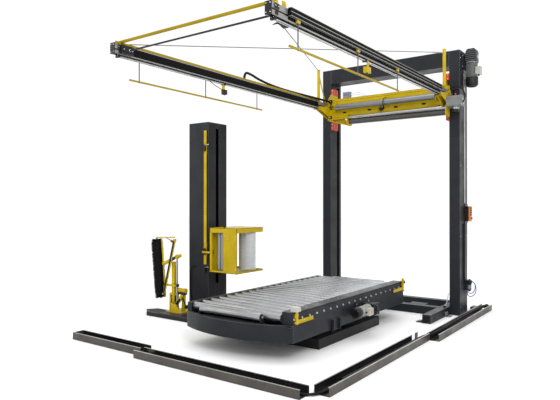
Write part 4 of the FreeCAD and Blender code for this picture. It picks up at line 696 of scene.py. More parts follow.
def film_reel():
    """Film roll with wound ends and sides that waver a little, on a board core."""
    low, high = span("film_roll")
    centre = ((low[0] + high[0]) / 2, (low[1] + high[1]) / 2, low[2])
    tall, radius = high[2] - low[2], (high[0] - low[0]) / 2
    film = Piece("stretch_film_reel", "film_roll", "film_clear", "core_board", replaces=["film_roll"],
                 bevel=0)
    reaches = [44.8 + (radius - 46) * step / 13 for step in range(14)]
    outline = [(2, 42)] + [(2.5 + 1.6 * chance.random(), reach) for reach in reaches] + [(4, radius)]
    outline += [(4 + (tall - 8) * step / 26, radius - 0.9 * chance.random()) for step in range(1, 26)]
    outline.append((tall - 4, radius))
    outline += [(tall - 2.5 - 1.6 * chance.random(), reach) for reach in reversed(reaches)] + [(tall - 2, 42)]
    film.turned(centre, UP, outline, 0, 72)
    film.turned(centre, UP, [(0, 38.3), (0, 44), (tall, 44), (tall, 38.3)], 1)
    film.ready()


# ---------------------------------------------------------------- clamp unit

PIVOT_X, PIVOT_Y = -1861, -380
STAND_TOP = 845


def clamp_stand():
    """Post, crank box, cylinders and rotary actuator of the clamp unit."""
    piece = Piece("clamp_stand_frame", "floor_frame", "yellow", "bolt", "black_plastic", "bright_steel",
                  replaces=["clamp_stand"], bevel=1.4)
    x, y = PIVOT_X, PIVOT_Y
    piece.boxes(0, (-1968, -488, 60), (-1692, -242, 72), (-1961, -430, 72), (-1876, -330, 310),
                (-1964, -433, 300), (-1873, -327, 312), (-1884, -478, 72), (-1878, -424, 190),
                (x - 82, y - 26, 72), (x - 30, y + 26, 743), (x - 86, y - 30, 72), (x - 26, y + 30, 84),
                (x - 32, y - 12, 693), (x - 10, y + 12, 723), (-1875, -462, 72), (-1862, -430, 146),
                (-1848, -462, 72), (-1835, -430, 146), (-1781, -370, 72), (-1741, -330, 300),
                (-1789, -376, 72), (-1733, -324, 82))
    piece.boxes(2, (-1934, -432, 120), (-1906, -429, 288), (-1877, -410, 120), (-1874, -350, 280),
                (-1850, -378, 296), (-1722, -322, 326))
    skirt = [(-1882, 72), (-1722, 72), (-1722, 118), (-1782, 164), (-1882, 196)]
    piece.extruded("y", skirt, -478, -472)
    start, end = Vector((-1841, -440, 150)), Vector((-1749, -400, 270))
    along = (end - start).normalized()
    for first, last, radius, paint, sides in (
            ((-1934, -434, 232), (-1904, -446, 224), 7, 3, 20), ((x, y, 72), (x, y, 120), 24, 2, 32),
            ((x, y, 60), (x, y, STAND_TOP), 14, 3, 28), (start, end, 20, 2, 28),
            (start + along * -22, end + along * 30, 8.5, 3, 20),
            ((-1880, -446, 132), (-1830, -446, 132), 8, 3, 20),
            ((-1748, -392, 286), (-1836, -412, 176), 25, 0, 32),
            ((-1752, -404, 236), (-1826, -424, 140), 9, 3, 20),
            ((-1836, -412, 176), (-1846, -415, 160), 28, 2, 28)):
        piece.rod(first, last, radius, paint, sides)
    for place, way in ((start, along), (end, -along)):
        piece.turned(place, way, [(0, 18), (2, 24), (26, 24), (29, 20.5)], 0, 28)
    for x_at, outline in ((-1866, [(0, 26), (3, 32), (44, 32), (47, 29)]), (-1820, [(0, 29), (60, 29)]),
                          (-1764, [(0, 29), (3, 32), (47, 32), (50, 26)])):
        piece.turned((x_at, -350, 352), RIGHT, outline, 0, 36)
    for u, v in ring(4, 21, 0.5):
        piece.bolt((-1715, -350 + u, 352 + v), RIGHT, 4, 1)
    piece.bolts((-1956, -1706), (-486, -256), 72, UP, 7, 1)
    piece.bolts(-1918, -432, (150, 250), FRONT, 5, 1)
    piece.ready()
    lead("clamp_hose_upper", "floor_frame",
         [(-1757, -402, 262), (-1721, -420, 270), (-1689, -416, 215), (-1691, -390, 150), (-1733, -354, 110),
          (-1761, -346, 130)], 5)
    lead("clamp_hose_lower", "floor_frame",
         [(-1757, -402, 262), (-1709, -420, 270), (-1673, -416, 205), (-1679, -390, 140), (-1725, -354, 104),
          (-1755, -346, 130)], 5)


def wiper():
    """Arm that swings the brush against the load."""
    lane = PIVOT_Y
    top, foot = (-2277, lane, 1068), (-2189, lane, 207)
    piece = Piece("wiper_arm_frame", "wiper_arm", "yellow", "black_plastic", "red_plastic", "bolt",
                  replaces=["wiper_arm"], bevel=1.0)
    for first, last, radius, paint, sides in (
            ((PIVOT_X, lane, 791), (PIVOT_X, lane, 837), 29.5, 0, 32),
            ((PIVOT_X, lane, 400), (PIVOT_X, lane, 436), 29.5, 1, 32),
            ((-2123, lane, 705), (-1885, lane, 807), 21, 1, 28),
            ((-2114, lane, 708), (-1968, lane, 771), 26, 0, 32),
            ((-2173, lane, 1055), (-2093, lane, 240), 9, 0, 20), (top, (-1905, lane, 1084), 8, 0, 20),
            ((-2090, lane - 2, 1078), (-1966, lane - 10, 1034), 5, 1, 14),
            ((-2191, lane, 222), (-2091, lane, 243), 8, 0, 20), (top, foot, 11, 1, 20),
            ((-2066, -418, 291), (-2066, -458, 291), 8, 3, 20)):
        piece.rod(first, last, radius, paint, sides)
    piece.turned((-1847, lane, 815), (58, 0, 24), [(0, 12), (8, 14), (12, 22), (50, 24), (60, 18), (63, 9)],
                 0, 32)
    piece.turned((-1974, lane - 10, 1036), (28, 0, -10), [(0, 11), (3, 15), (22, 16), (28, 12)], 2, 20)
    piece.boxes(0, (-2086, -424, 402), (-1875, -412, 434), (-1875, -424, 404), (-1849, -396, 432),
                (-2086, -424, 266), (-2046, -412, 434), (-2150, lane - 14, 690), (-2118, lane + 14, 724))
    piece.ready()
    bristles(Vector((-2274, lane, 1040)), Vector((-2192, lane, 230)))


def bristles(first, last, rows=58, tufts=34):
    """Round brush: a core and rings of slightly uneven tufts, shorter at both ends."""
    brush = Piece("wiper_brush", "wiper_arm", "bristle", "black_plastic", bevel=0, slot="black_plastic")
    axis = (last - first).normalized()
    side = axis.orthogonal().normalized()
    cross = axis.cross(side)
    brush.rod(first, last, 30, 1, 24)
    brush.turned(first + (last - first) * 0.03, axis, [(0, 54), (14, 64), (560, 66), (740, 64), (770, 54)], 0,
                 40)
    for row in range(rows):
        share = row / (rows - 1)
        reach = 84 - 6 * max(0.0, share - 0.82) / 0.18 - 8 * max(0.0, 0.06 - share) / 0.06
        for tuft in range(tufts):
            angle = math.tau * (tuft + chance.random()) / tufts
            place = first + (last - first) * min(1.0, max(0.0, share + chance.uniform(-0.008, 0.008)))
            out = side * math.cos(angle) + cross * math.sin(angle)
            lean = axis * chance.uniform(-11, 15)
            length = reach * chance.uniform(0.92, 1.03)
            brush.rod(place + out * 22, place + out * length + lean, chance.uniform(5.5, 8.0), 0, 4, tip=2.2)
    brush.ready()


def clamp():
    """Arm that holds the film end."""
    lane = -441
    piece = Piece("clamp_arm_frame", "clamp_arm", "black_plastic", "yellow", "bolt", replaces=["clamp_arm"],
                  bevel=0.8, slot="black_plastic")
    piece.turned((-2066, lane + 12, 291), FRONT, [(0, 9), (0, 20), (24, 20), (24, 9)], 0, 28)
    piece.rod((-2061, lane, 303), (-1858, lane, 1046), 15, 0, 24)
    piece.rod((-2042, lane + 2, 298), (-1835, lane + 2, 1046), 7.5, 1, 20)
    piece.box((-1865, lane - 12, 1030), (-1825, lane + 12, 1066), 1)
    piece.turned((-1905, lane, 1026), RIGHT, [(0, 9), (3, 13), (46, 13), (48, 10)], 0, 24)
    piece.box((-1866, lane - 11, 1014), (-1842, lane + 11, 1038))
    for share in (0.3, 0.62):
        middle = Vector((-2063, lane, 303)).lerp(Vector((-1853, lane, 1052)), share)
        piece.box(middle + Vector((-8, -10, -9)), middle + Vector((24, 10, 9)))
    piece.ready()


# ---------------------------------------------------------------- gantry

COLUMN_Y = (1875, 2205)
LEFT_COLUMN = (-866, -718)
RIGHT_COLUMN = (1192, 1340)
COLUMN_TOP = 3690


def gantry_column(node, low_x, high_x, inner):
    """Folded sheet column with a tall slot in its inner face and a black belt run behind it."""
    piece = Piece(node + "_shell", "floor_frame", "charcoal", replaces=[node], bevel=3.0, worn=True)
    low_y, high_y = COLUMN_Y
    top, middle = COLUMN_TOP - 8, (low_x + high_x) / 2
    piece.channel((low_x, low_y, 0), (high_x, high_y, COLUMN_TOP), 6, (inner, 2075, 2145), (350, 3440), top)
    piece.ready()
    inside = Piece(node + "_run", "floor_frame", "interior", "black_plastic", "bolt", bevel=0.8,
                   slot="black_plastic")
    plate, belt = middle - 30 * inner, middle - 22 * inner
    # Near-black plate behind the slot: painted shade inside the column.
    inside.box((plate - 6, low_y + 30, 20), (plate + 6, high_y - 30, top - 20))
    inside.box((belt - 3, 2088, 330), (belt + 3, 2132, 3460), 1)
    for y_at in (2062, 2158):
        inside.box((middle, y_at - 5, 330), (middle + 12 * inner, y_at + 5, 3450), 2)
    inside.bolts(low_x if inner > 0 else high_x, (low_y + 30, high_y - 30), (120, 1100, 2080, 3060, 3580),
                 (-inner, 0, 0), 6, 2)
    inside.ready()


def gantry_beam():
    """Top beam between the two columns, with its end bolts."""
    low, high = span("gantry_top_beam")
    piece = Piece("gantry_beam_shell", "floor_frame", "charcoal", replaces=["gantry_top_beam"], bevel=3.0,
                  worn=True)
    piece.boxes(0, low, (high[0], high[1], high[2] - 4), (low[0], low[1], high[2] - 7), high)
    for x_at in (low[0], high[0] - 10):
        piece.box((x_at, low[1] - 2, low[2] - 1), (x_at + 10, low[1] + 6, high[2] - 3))
    piece.ready()
    bolts = Piece("gantry_beam_bolts", "floor_frame", "charcoal_edge", bevel=0.4, slot="charcoal")
    ends, levels = (low[0] + 28, high[0] - 28), (low[2] + 36, high[2] - 40)
    bolts.bolts(ends, low[1], levels, FRONT, 7)
    bolts.bolts(ends, high[1], levels, BACK, 7)
    bolts.ready()


def gantry_feet():
    """Foot frame of the gantry, floor lugs and every anchor bolt."""
    piece = Piece("gantry_feet_frame", "floor_frame", "charcoal", "yellow", "interior",
                  replaces=["gantry_base"], bevel=3.0, worn=True)
    for low, high in ((-718, -604), (1078, 1192)):
        piece.boxes(0, (low, 1143, 0), (high, 2500, 110), (low, 1143, 104), (high, 2500, 114))
        # Near-black plate in the beam end: painted shade in the hollow tube.
        piece.box((low + 8, 1141, 8), (high - 8, 1146, 104), 2)
    for low, high in ((1709, 1823), (2290, 2404)):
        piece.boxes(0, (-605, low, 0), (1079, high, 110), (-605, low, 104), (1079, high, 114))
    piece.box((620, 1822, 100), (850, 1972, 112))
    bolts = Piece("foot_anchor_bolts", "floor_frame", "bolt", replaces=["frame_bolts"], bevel=0.5)
    bolts.bolts((-661, 1135), (1840, 1900, 2160, 2220), 114, UP, 11)
    bolts.bolts((-1945, -1530), (-101, 318), 90, UP, 11)
    for (side, lug), y_at in itertools.product(((-1, -559), (1, 1033)), (1203, 2440)):
        piece.box((lug - 46, y_at - 45, 0), (lug + 46, y_at + 45, 12))
        gusset = [(lug + 45 * side, 12), (lug + 4 * side, 12), (lug + 45 * side, 60)]
        piece.extruded("y", gusset, y_at - 38, y_at - 30)
        bolts.bolt((lug - 10 * side, y_at, 12), UP, 8)
        bolts.rod((lug - 10 * side, y_at, 12), (lug - 10 * side, y_at, 34), 5, 0, 16)
    piece.ready()
    bolts.ready()


LIFT_X, LIFT_Y = 1436, 2120


def lift_drive():
    """Bevel gearmotor that lifts the sheet carriage."""
    x, y = LIFT_X, LIFT_Y
    piece = Piece("lift_drive_unit", "floor_frame", "motor_grey", "black_plastic", "bolt", "cream",
                  "charcoal", "drive_grey", replaces=["lift_gearmotor"], bevel=1.6)
    piece.box((1340, 1935, 3450), (1354, 2185, 3640), 4)
    piece.bolts(1354, (1960, 2160), (3470, 3620), RIGHT, 7, 2)
    piece.turned((1354, y, 3612), RIGHT, [(0, 52), (8, 52), (12, 46), (16, 40)], 4, 40)
    piece.rod((1340, y, 3612), (1520, y, 3612), 24, 2)
    case = [(1364, 3545), (1508, 3545), (1508, 3690), (1484, 3728), (1388, 3728), (1364, 3690)]
    piece.extruded("y", case, y - 66, y + 66, 4)
    for level in range(3562, 3562 + 6 * 28, 28):
        inset = max(0, level - 3690) * 0.7
        piece.box((1362 + inset, y - 71, level), (1510 - inset, y + 71, level + 9), 5)
    piece.turned((1508, y, 3612), RIGHT, [(0, 50), (4, 50), (8, 44), (11, 30)], 5, 40)
    piece.turned((x, y, 3547), DOWN, [(0, 88), (14, 88), (18, 80)], 0, 44)
    for u, v in ring(4, 76, 0.5):
        piece.bolt((x + u, y + v, 3530), DOWN, 6, 2)
    piece.rod((x, y, 3325), (x, y, 3535), 66, 0, 44)
    piece.finned((x, y, 3330), "z", 190, 76, 10, 44)
    piece.turned((x, y, 3332), DOWN,
                 [(0, 82), (4, 84), (96, 84), (118, 76), (130, 62), (132, 56), (127, 54), (127, 6)], 1, 44)
    piece.grille((x, y, 3206), (0, 0, -4), 4, 12)
    piece.boxes(3, (1496, 2072, 3362), (1552, 2168, 3468), (1550, 2070, 3360), (1562, 2170, 3470))
    piece.bolts(1561, (2078, 2162), (3368, 3462), RIGHT, 3.2, 2)
    piece.rod((1530, 2120, 3362), (1530, 2120, 3340), 10, 1, 18)
    piece.ready()


def control_box():
    """Control panel with a stop button, cable trunk and air unit on the right column."""
    piece = Piece("control_panel", "floor_frame", "amber", "interior", "black_plastic", "charcoal",
                  "motor_grey", "blue_plastic", "zinc", "profile", replaces=["control_station"], bevel=1.6,
                  slot="orange")
    piece.boxes(2, (1340, 2065, 1275), (1350, 2201, 1545), (1350, 2085, 1304), (1402, 2181, 1514),
                (1411, 2140, 1330), (1414, 2176, 1366), (1362, 2097, 417), (1412, 2143, 469),
                (1410, 2099, 420), (1416, 2141, 466))
    piece.box((1396, 2083, 1302), (1412, 2183, 1516))
    piece.boxes(3, (1340, 2027, 470), (1364, 2083, 1276), (1340, 2092, 332), (1362, 2188, 470))
    piece.box((1340, 2050, 1560), (1347, 2104, 3440), 7)
    piece.box((1362, 2146, 417), (1412, 2191, 469), 4)
    for level in range(520, 1181, 220):
        piece.box((1340, 2025, level), (1366, 2085, level + 22), 2)
    for y_at, level in itertools.product((2108, 2158), range(1394, 1491, 32)):
        piece.turned((1411, y_at, level), RIGHT, [(0, 13), (3, 13), (4, 10), (8, 10), (9, 8)], 2, 24)
    piece.turned((1412, 2121, 442), RIGHT, [(0, 21), (10, 21), (14, 19), (16, 15)], 2, 32)
    piece.turned((1424, 2121, 442), RIGHT, [(0, 16), (3.5, 15)], 7, 32)
    bowl = [(0, 18), (2, 22), (14, 22), (16, 20.5), (84, 20.5), (96, 17), (104, 8), (110, 7)]
    for y_at in (2121, 2169):
        piece.turned((1388, y_at, 420), DOWN, bowl, 2, 32)
        piece.turned((1388, y_at, 404), DOWN, [(0, 21), (58, 21)], 4, 32)
    piece.turned((1390, 2143, 466), UP, [(0, 14), (14, 14), (18, 10)], 2, 24)
    for level in (452, 345):
        piece.turned((1406, 2143, level), RIGHT, [(0, 7), (10, 7), (13, 5)], 5, 18)
    piece.ready()
    for number, points in enumerate((
            [(1410, 2143, 452), (1458, 2129, 448), (1482, 2115, 380), (1452, 2129, 300), (1390, 2143, 276),
             (1354, 2143, 312), (1352, 2143, 345)],
            [(1410, 2143, 452), (1458, 2155, 448), (1482, 2167, 336), (1452, 2155, 256), (1390, 2143, 232),
             (1354, 2143, 268), (1352, 2143, 345)]), 1):
        lead(f"air_tube_{number}", "floor_frame", points, 6, "blue_tube")
    stop = Piece("stop_mushroom", "estop_button", "red_plastic", "zinc", replaces=["estop_button"], bevel=0.6)
    stop.rod((1381, 2133, 1345), (1421, 2133, 1345), 11.5, 1, 24)
    stop.turned((1419, 2133, 1345), RIGHT, [(0, 15), (2, 19), (6, 20), (12, 18), (15.5, 11), (16, 3)], 0, 36)
    stop.ready()


def floor_leads():
    """Loose leads in the side channels and the air line at the right column's foot."""
    cables = (("channel_hose", [(1400, -1560, 34), (1396, -900, 24), (1404, -200, 30), (1400, 300, 34),
                                (1450, 420, 40), (1480, 800, 52), (1476, 1300, 66), (1472, 1900, 66),
                                (1478, 2300, 66), (1500, 2470, 64), (1530, 2520, 56)], 22, "cable_black"),
              ("channel_cable_grey", [(1440, -1500, 14), (1432, -1000, 12), (1444, -400, 14),
                                      (1436, 200, 14)], 6,
               "motor_grey"),
              ("channel_cable_thin", [(1366, -1500, 12), (1372, -1100, 10), (1360, -500, 12),
                                      (1370, 120, 12)], 5,
               "drive_grey"),
              ("far_channel_cable", [(1560, 420, 14), (1552, 1000, 12), (1562, 1700, 14), (1556, 2380, 14)],
               7, "motor_grey"),
              ("column_foot_line", [(1180, 1868, 300), (1176, 1846, 210), (1166, 1812, 150),
                                    (1154, 1788, 130)], 6,
               "pale_tube"))
    for name, points, radius, paint in cables:
        lead(name, "floor_frame", points, radius, paint)
    piece = Piece("column_foot_bracket", "floor_frame", "bright_steel", "bolt", "black_plastic", bevel=0.8,
                  slot="zinc")
    piece.box((1193, 1690, 0), (1262, 1800, 9))
    piece.box((1193, 1690, 9), (1200, 1800, 74))
    for y_at in (1712, 1778):
        piece.bolt((1236, y_at, 9), UP, 10, 1)
        piece.bolt((1200, y_at, 50), RIGHT, 8, 1)
    piece.box((1140, 1772, 114), (1168, 1800, 136), 2)
    piece.ready()


def ducts():
    """Open floor channels of folded steel: brushed outside, painted shade (near black) inside, and
    turned-over lips painted bright as a highlight.
    """
    piece = Piece("cable_channels", "floor_frame", "duct_steel", "duct_inside", "duct_lip", "black_plastic",
                  replaces=["cable_ducts"], bevel=0.8)
    wall, tall = 4, 80

    def side_wall(low, high, inner):
        """One channel wall: a painted highlight on the lip along its top, painted shade on its inner face."""
        piece.box((*low, 0), (*high, tall - 1))
        across = 0 if high[0] - low[0] < high[1] - low[1] else 1
        inside = high[across] if inner > 0 else low[across]
        outside = low[across] if inner > 0 else high[across]
        for first, last, bottom, top, paint in ((outside - 0.4 * inner, inside + 9 * inner, tall - 3, tall,
                                                 2),
                                                (inside - 0.2 * inner, inside + 0.6 * inner, 5, tall - 4, 1)):
            strip_low, strip_high = list(low), list(high)
            strip_low[across], strip_high[across] = first, last
            piece.box((*strip_low, bottom), (*strip_high, top), paint)

    for low, high in (((-700, -2086), (1310, -1940)), ((-1870, -1996), (-700, -1850))):
        piece.box((*low, 0), (*high, wall))
        # Near-black floor sheet: painted shade inside the channel.
        piece.box((low[0] + 3, low[1] + wall, wall), (high[0] - 3, high[1] - wall, wall + 1), 1)
        side_wall(low, (high[0], low[1] + wall), 1)
        side_wall((low[0], high[1] - wall), high, -1)
    piece.box((-1870, -1996, 0), (-1866, -1850, tall))
    for low, high, gaps in (((1330, -1900), (1476, 340), (170, 260)), ((1440, 340), (1586, 2570), ())):
        piece.box((*low, 0), (*high, wall))
        # Near-black floor sheet: painted shade inside the channel.
        piece.box((low[0] + wall, low[1] + 3, wall), (high[0] - wall, high[1] - 3, wall + 1), 1)
        side_wall((high[0] - wall, low[1]), high, -1)
        ends = (low[1], *gaps, high[1])
        for first, last in zip(ends[::2], ends[1::2]):
            side_wall((low[0], first), (low[0] + wall, last), 1)
    piece.turned((1513, 2560, 40), BACK, [(0, 40), (14, 40), (19, 34), (22, 20)], 3, 40)
    piece.boxes(3, (1342, 2330, 0), (1440, 2480, 52), (1342, 2330, 50), (1438, 2480, 56))
    piece.ready()


# ---------------------------------------------------------------- sheet carriage and booms

BEAM_LEFT, BEAM_RIGHT = -700, 1224
UPPER_FACE, LOWER_FACE = 1730, 1745
LOWER_LOW, LOWER_HIGH = 2870, 3020
ROLL_Y, ROLL_Z = 1735, 2815
SPREADER_Y, SPREADER_Z = 1672, 3038
POST_Y = 1509
PULL_Y, PULL_Z = -2190, 3068
BOOMS = {"left": -713, "right": 1187}
BOOM_HALF = 31
BOOM_LOW, BOOM_HIGH = 3023, 3125
BOOM_NEAR, BOOM_FAR = -2330, 1850
HANGER_Y = {"left": (-1972, -983, -2), "right": (-1980, -926, 20)}


def sheet_beams():
    """Both beams of the sheet carriage, end plates, boom saddles and guide shoes."""
    piece = Piece("sheet_carriage_frame", "sheet_carriage", "yellow", "interior", "bolt", "charcoal",
                  replaces=["sheet_carriage"], bevel=1.4)
    inner_left, inner_right = BOOMS["left"] + BOOM_HALF + 0.6, BOOMS["right"] - BOOM_HALF - 0.6
    left, right = -670, 1144
    piece.boxes(0, (inner_left, UPPER_FACE, 3085), (inner_right, 1810, BOOM_HIGH + 1),
                (BEAM_LEFT, UPPER_FACE, BOOM_HIGH + 1), (BEAM_RIGHT, 1810, 3175),
                (BEAM_LEFT, 1725, 3175), (BEAM_RIGHT, 1812, 3180), (left, LOWER_FACE, LOWER_LOW),
                (right, 1751, 2952), (left, LOWER_FACE, 2978), (right, 1751, LOWER_HIGH), (left, 1751, 3014),
                (right, 1810, LOWER_HIGH), (left, 1751, LOWER_LOW), (right, 1810, 2876), (left, 1804, 2876),
                (right, 1810, 3014), (left, 1740, 2866), (right, 1746, 2873))
    edges = [left] + [at + half for at in range(-396, 1000, 423) for half in (-31, 31)] + [right]
    for first, last in zip(edges[::2], edges[1::2]):
        piece.box((first, LOWER_FACE, 2952), (last, 1751, 2978))
    plate = [(1787, 2862), (2025, 2862), (2025, 3284), (1812, 3284), (1735, 3200), (1735, 2869), (1787, 2869)]
    for side, near, far in ((-1, left, left - 10), (1, right, right + 10)):
        piece.extruded("x", plate, near, far)
        piece.bolts(far, 1860, (2880, 2950, 3120, 3266), (side, 0, 0), 6, 2)
    for at in (-640, 500, 1060):
        piece.boxes(0, (at, 1770, 3019), (at + 10, 1806, 3087), (at - 14, 1771, LOWER_HIGH),
                    (at + 24, 1805, 3027))
        piece.bolts(at - 8, (1780, 1797), 3027, UP, 3.4, 2)
    web = [(1450, 3015), (1862, 2880), (1862, 3130), (1790, 3130), (1660, 3070), (1450, 3041)]
    for side, centre in ((-1, BOOMS["left"]), (1, BOOMS["right"])):
        for low in (centre - 39, centre + 31):
            piece.extruded("x", web, low, low + 8)
        piece.box((centre - 35, 1470, 3015), (centre + 35, 1854, 3022))
        for along, level in ((1490, 3026), (1640, 3000), (1640, 3050), (1800, 2940), (1800, 3105)):
            piece.bolt((centre + side * 39, along, level), (side, 0, 0), 6, 2)
    for low, high in ((-763, -553), (1027, 1237)):
        piece.box((low, 1850, 2880), (high, 1862, 3126))
        piece.bolts((low + 18, high - 18), 1850, (2900, 3004), FRONT, 6, 2)
    gusset = [(1640, 2975), (1731, 2975), (1731, 3135), (1700, 3135), (1640, 3050)]
    holder = [(1652, 2770), (1666, 2756), (1796, 2756), (1810, 2770), (1810, 2962), (1652, 2900)]
    for outline, lows in ((gusset, (-529, 1073)), (holder, (-311, 1211))):
        for low in lows:
            piece.extruded("x", outline, low, low + 10)
    piece.extruded("y", [(-311, 2748), (-311, 2756), (-625, 2846), (-625, 2838)], 1660, 1790)
    infill = [(-625, 2842), (-312, 2752), (-312, 2784), (-420, 2872), (-625, 2872)]
    piece.extruded("y", infill, 1782, 1788)
    # Near-black sheet behind the lower beam's slots: painted shade. Thin near-black lines along the middle of
    # the upper beam and near the foot of the lower beam: painted shadow lines.
    piece.boxes(1, (left + 10, 1752, 2940), (right - 10, 1756, 2990),
                (BEAM_LEFT + 90, 1729.2, 3143), (BEAM_RIGHT - 90, 1730.4, 3147),
                (left + 20, 1744.2, 2896), (right - 20, 1745.4, 2899))
    piece.bolts(range(-600, 1150, 175), UPPER_FACE, 3160, FRONT, 4.5)
    piece.ready()
    sheet_fittings()
    guides = Piece("guide_shoes", "sheet_carriage", "orange", "bolt", replaces=["guide_blocks"], bevel=3.0)
    for side, outer, face in ((1, -717.5, left), (-1, 1191.5, right)):
        for first, last in ((3286, 3381), (2724, 2860)):
            middle, level = (outer + face) / 2, (first + last) / 2
            guides.box((outer, 1883, first), (face, 2025, last))
            for y_at in (1905, 2003):
                guides.bolt((middle, y_at, last), UP, 5, 1)
                guides.bolt((middle, 1883, level + (y_at - 1954) * 0.6), FRONT, 5, 1)
                guides.bolt((face, y_at, level), (side, 0, 0), 5, 1)
    guides.ready()


def sheet_fittings():
    """Clips, nip tube and sheet sensor on the two beams."""
    body = "sheet_carriage"
    clips = Piece("beam_clips", body, "black_plastic", "bolt", bevel=1.4)
    clips.boxes(0, (-640, 1700, 3128), (-602, 1731, 3176), (-634, 1712, 3096), (-616, 1731, 3130),
                (-650, 1714, 2884), (-622, 1746, 2926), (1086, 1722, 2884), (1112, 1746, 2922))
    for place in ((-621, 1700, 3152), (-636, 1714, 2905), (1099, 1722, 2903)):
        clips.bolt(place, FRONT, 5, 1)
    clips.ready()
    tubes = Piece("nip_roller", body, "bright_steel", "bolt", "core_board", bevel=0.8, slot="zinc")
    tubes.turned((-302, 1690, 2872), RIGHT, [(0, 10), (1, 24), (4, 25), (1508, 25), (1511, 24), (1512, 10)],
                 0, 40)
    tubes.turned((-300, ROLL_Y, ROLL_Z), RIGHT, [(0, 18), (0, 22), (1510, 22), (1510, 18)], 1, 32)
    for x_at, way in ((-311, LEFT), (1221, RIGHT)):
        tubes.bolt((x_at, 1690, 2872), way, 7, 1)
        tubes.bolt((x_at, ROLL_Y, ROLL_Z), way, 9, 1)
    tubes.ready()
    sensor = Piece("sheet_sensor", body, "black_plastic", "yellow", "bolt", bevel=1.6)
    sensor.boxes(0, (204, 1700, 2938), (262, 1738, 2984), (214, 1692, 2944), (252, 1702, 2966))
    sensor.box((198, 1737, 2930), (268, 1746, 2992), 1)
    sensor.rod((233, 1719, 2938), (233, 1719, 2926), 8, 0, 18)
    sensor.bolts((210, 256), 1700, 2976, FRONT, 3, 2)
    sensor.ready()
    lead("sheet_sensor_lead", body,
         [(262, 1719, 2960), (290, 1706, 2952), (304, 1660, 2962), (306, 1612, 3000), (306, 1612, 3050),
          (306, 1640, 3096), (306, 1700, 3112), (306, 1729, 3112)], 4.5)


def sheet_rollers():
    """Spreader roller and the roll of top sheet."""
    spreader = Piece("spreader_sleeve", "spreader_roller", "spreader_steel", "bolt",
                     replaces=["spreader_roller"], bevel=0.6, slot="zinc")
    spreader.turned((-512, SPREADER_Y, SPREADER_Z), RIGHT, [(0, 14), (0, 37), (2, 42), (5, 43), (1574, 43),
                                                            (1577, 42),
                                              (1579, 37), (1579, 14)], 0, 56)
    low, high = span("spreader_roller")
    spreader.rod((low[0], SPREADER_Y, SPREADER_Z), (high[0], SPREADER_Y, SPREADER_Z), 10, 1, 24)
    spreader.ready()
    low, high = span("sheet_film_roll")
    start, length = (low[0], ROLL_Y, ROLL_Z), high[0] - low[0]
    film = Piece("sheet_film_reel", "sheet_film_roll", "sheet_film", "core_board",
                 replaces=["sheet_film_roll"], bevel=0)
    outline = [(3, 28), (2, 36), (3, 42), (5, 44.8)]
    outline += [(5 + (length - 10) * step / 40, 44.9 - 0.7 * chance.random()) for step in range(1, 40)]
    outline += [(length - 5, 44.8), (length - 3, 42), (length - 2, 36), (length - 3, 28)]
    film.turned(start, RIGHT, outline)
    film.turned(start, RIGHT, [(0, 22.4), (0, 29), (length, 29), (length, 22.4)], 1, 40)
    film.ready()


def rounded_block(low, high, across, up):
    """Outline of a block with cut corners, from its opposite corners in two coordinates."""
    (u0, v0), (u1, v1) = low, high
    return [(u0, v0 + up), (u0 + across, v0), (u1 - across, v0), (u1, v0 + up), (u1, v1 - up),
            (u1 - across, v1), (u0 + across, v1), (u0, v1 - up)]


def carriage_drive():
    """Nip drive housing, valve box and their leads."""
    body = "sheet_carriage"
    piece = Piece("nip_drive", body, "motor_grey", "black_plastic", "bright_steel", "bolt", "blue_plastic",
                  "red_plastic", "charcoal", replaces=["carriage_gearbox"], bevel=3.0)
    piece.extruded("x", rounded_block((1642, 2878), (1838, 3016), 15, 13), 1228, 1424)
    for x_at in (1227, 1280, 1418):
        piece.extruded("x", rounded_block((1640, 2876), (1840, 3018), 13, 13), x_at, x_at + 11)
    piece.turned((1428, 1740, 2947), RIGHT, [(0, 44), (2, 44), (2, 30)], 2, 36)
    piece.bolts(1429, (1658, 1822), (2892, 3000), RIGHT, 5, 3)
    piece.bolts(1227, (1658, 1822), (2892, 3000), LEFT, 5, 3)
    piece.turned((1330, 1740, 2878), DOWN, [(0, 46), (30, 46), (31, 41), (38, 41)], 2, 44)
    piece.turned((1330, 1740, 2841), DOWN, [(0, 43), (26, 43), (40, 38)], 1, 44)
    for x_at, paint in ((1286, 4), (1336, 5), (1386, 1)):
        piece.turned((x_at, 1700, 3016), UP, [(0, 13.5), (14, 13.5), (15, 11), (36, 10)], paint, 24)
    piece.box((1250, 1752, 3012), (1410, 1822, 3034), 6)
    piece.boxes(0, (-430, 1752, 3180), (-310, 1808, 3276), (-432, 1750, 3270), (-308, 1810, 3280))
    for low in (-418, -382, -346):
        piece.box((low + 7, 1747, 3228), (low + 19, 1753, 3244), 4)
        piece.turned((low + 13, 1747, 3194), FRONT, [(0, 6), (8, 6), (9, 4)], 2, 16)
    piece.ready()
    lead("nip_drive_lead", body,
         [(1286, 1700, 3045), (1272, 1698, 3130), (1370, 1690, 3150), (1446, 1696, 3090), (1468, 1712, 2990),
          (1428, 1735, 2925)], 8.5)
    lead("nip_drive_lead_short", body,
         [(1386, 1700, 3045), (1392, 1700, 3090), (1336, 1716, 3112), (1290, 1752, 3090), (1270, 1800, 3034)],
         7)
    lead("valve_tube_1", body, [(-312, 1780, 3246), (-218, 1782, 3266), (-118, 1780, 3244),
                                (-28, 1776, 3184)], 3,
         "pale_tube")
    lead("valve_tube_2", body, [(-312, 1780, 3222), (-218, 1782, 3230), (-118, 1780, 3208),
                                (-46, 1776, 3184)], 3,
         "pale_tube")


def boom_outline(centre):
    """Section of a boom: rounded rims, a T-slot in each face."""
    half = BOOM_HALF
    right = [(half - 3, BOOM_LOW), (half, BOOM_LOW + 3), (half, 3059), (half - 10, 3059), (half - 10, 3073),
             (half, 3073), (half, BOOM_HIGH - 3), (half - 3, BOOM_HIGH)]
    left = [(-u, v) for u, v in reversed(right)]
    return [(centre + u, v) for u, v in right + left]


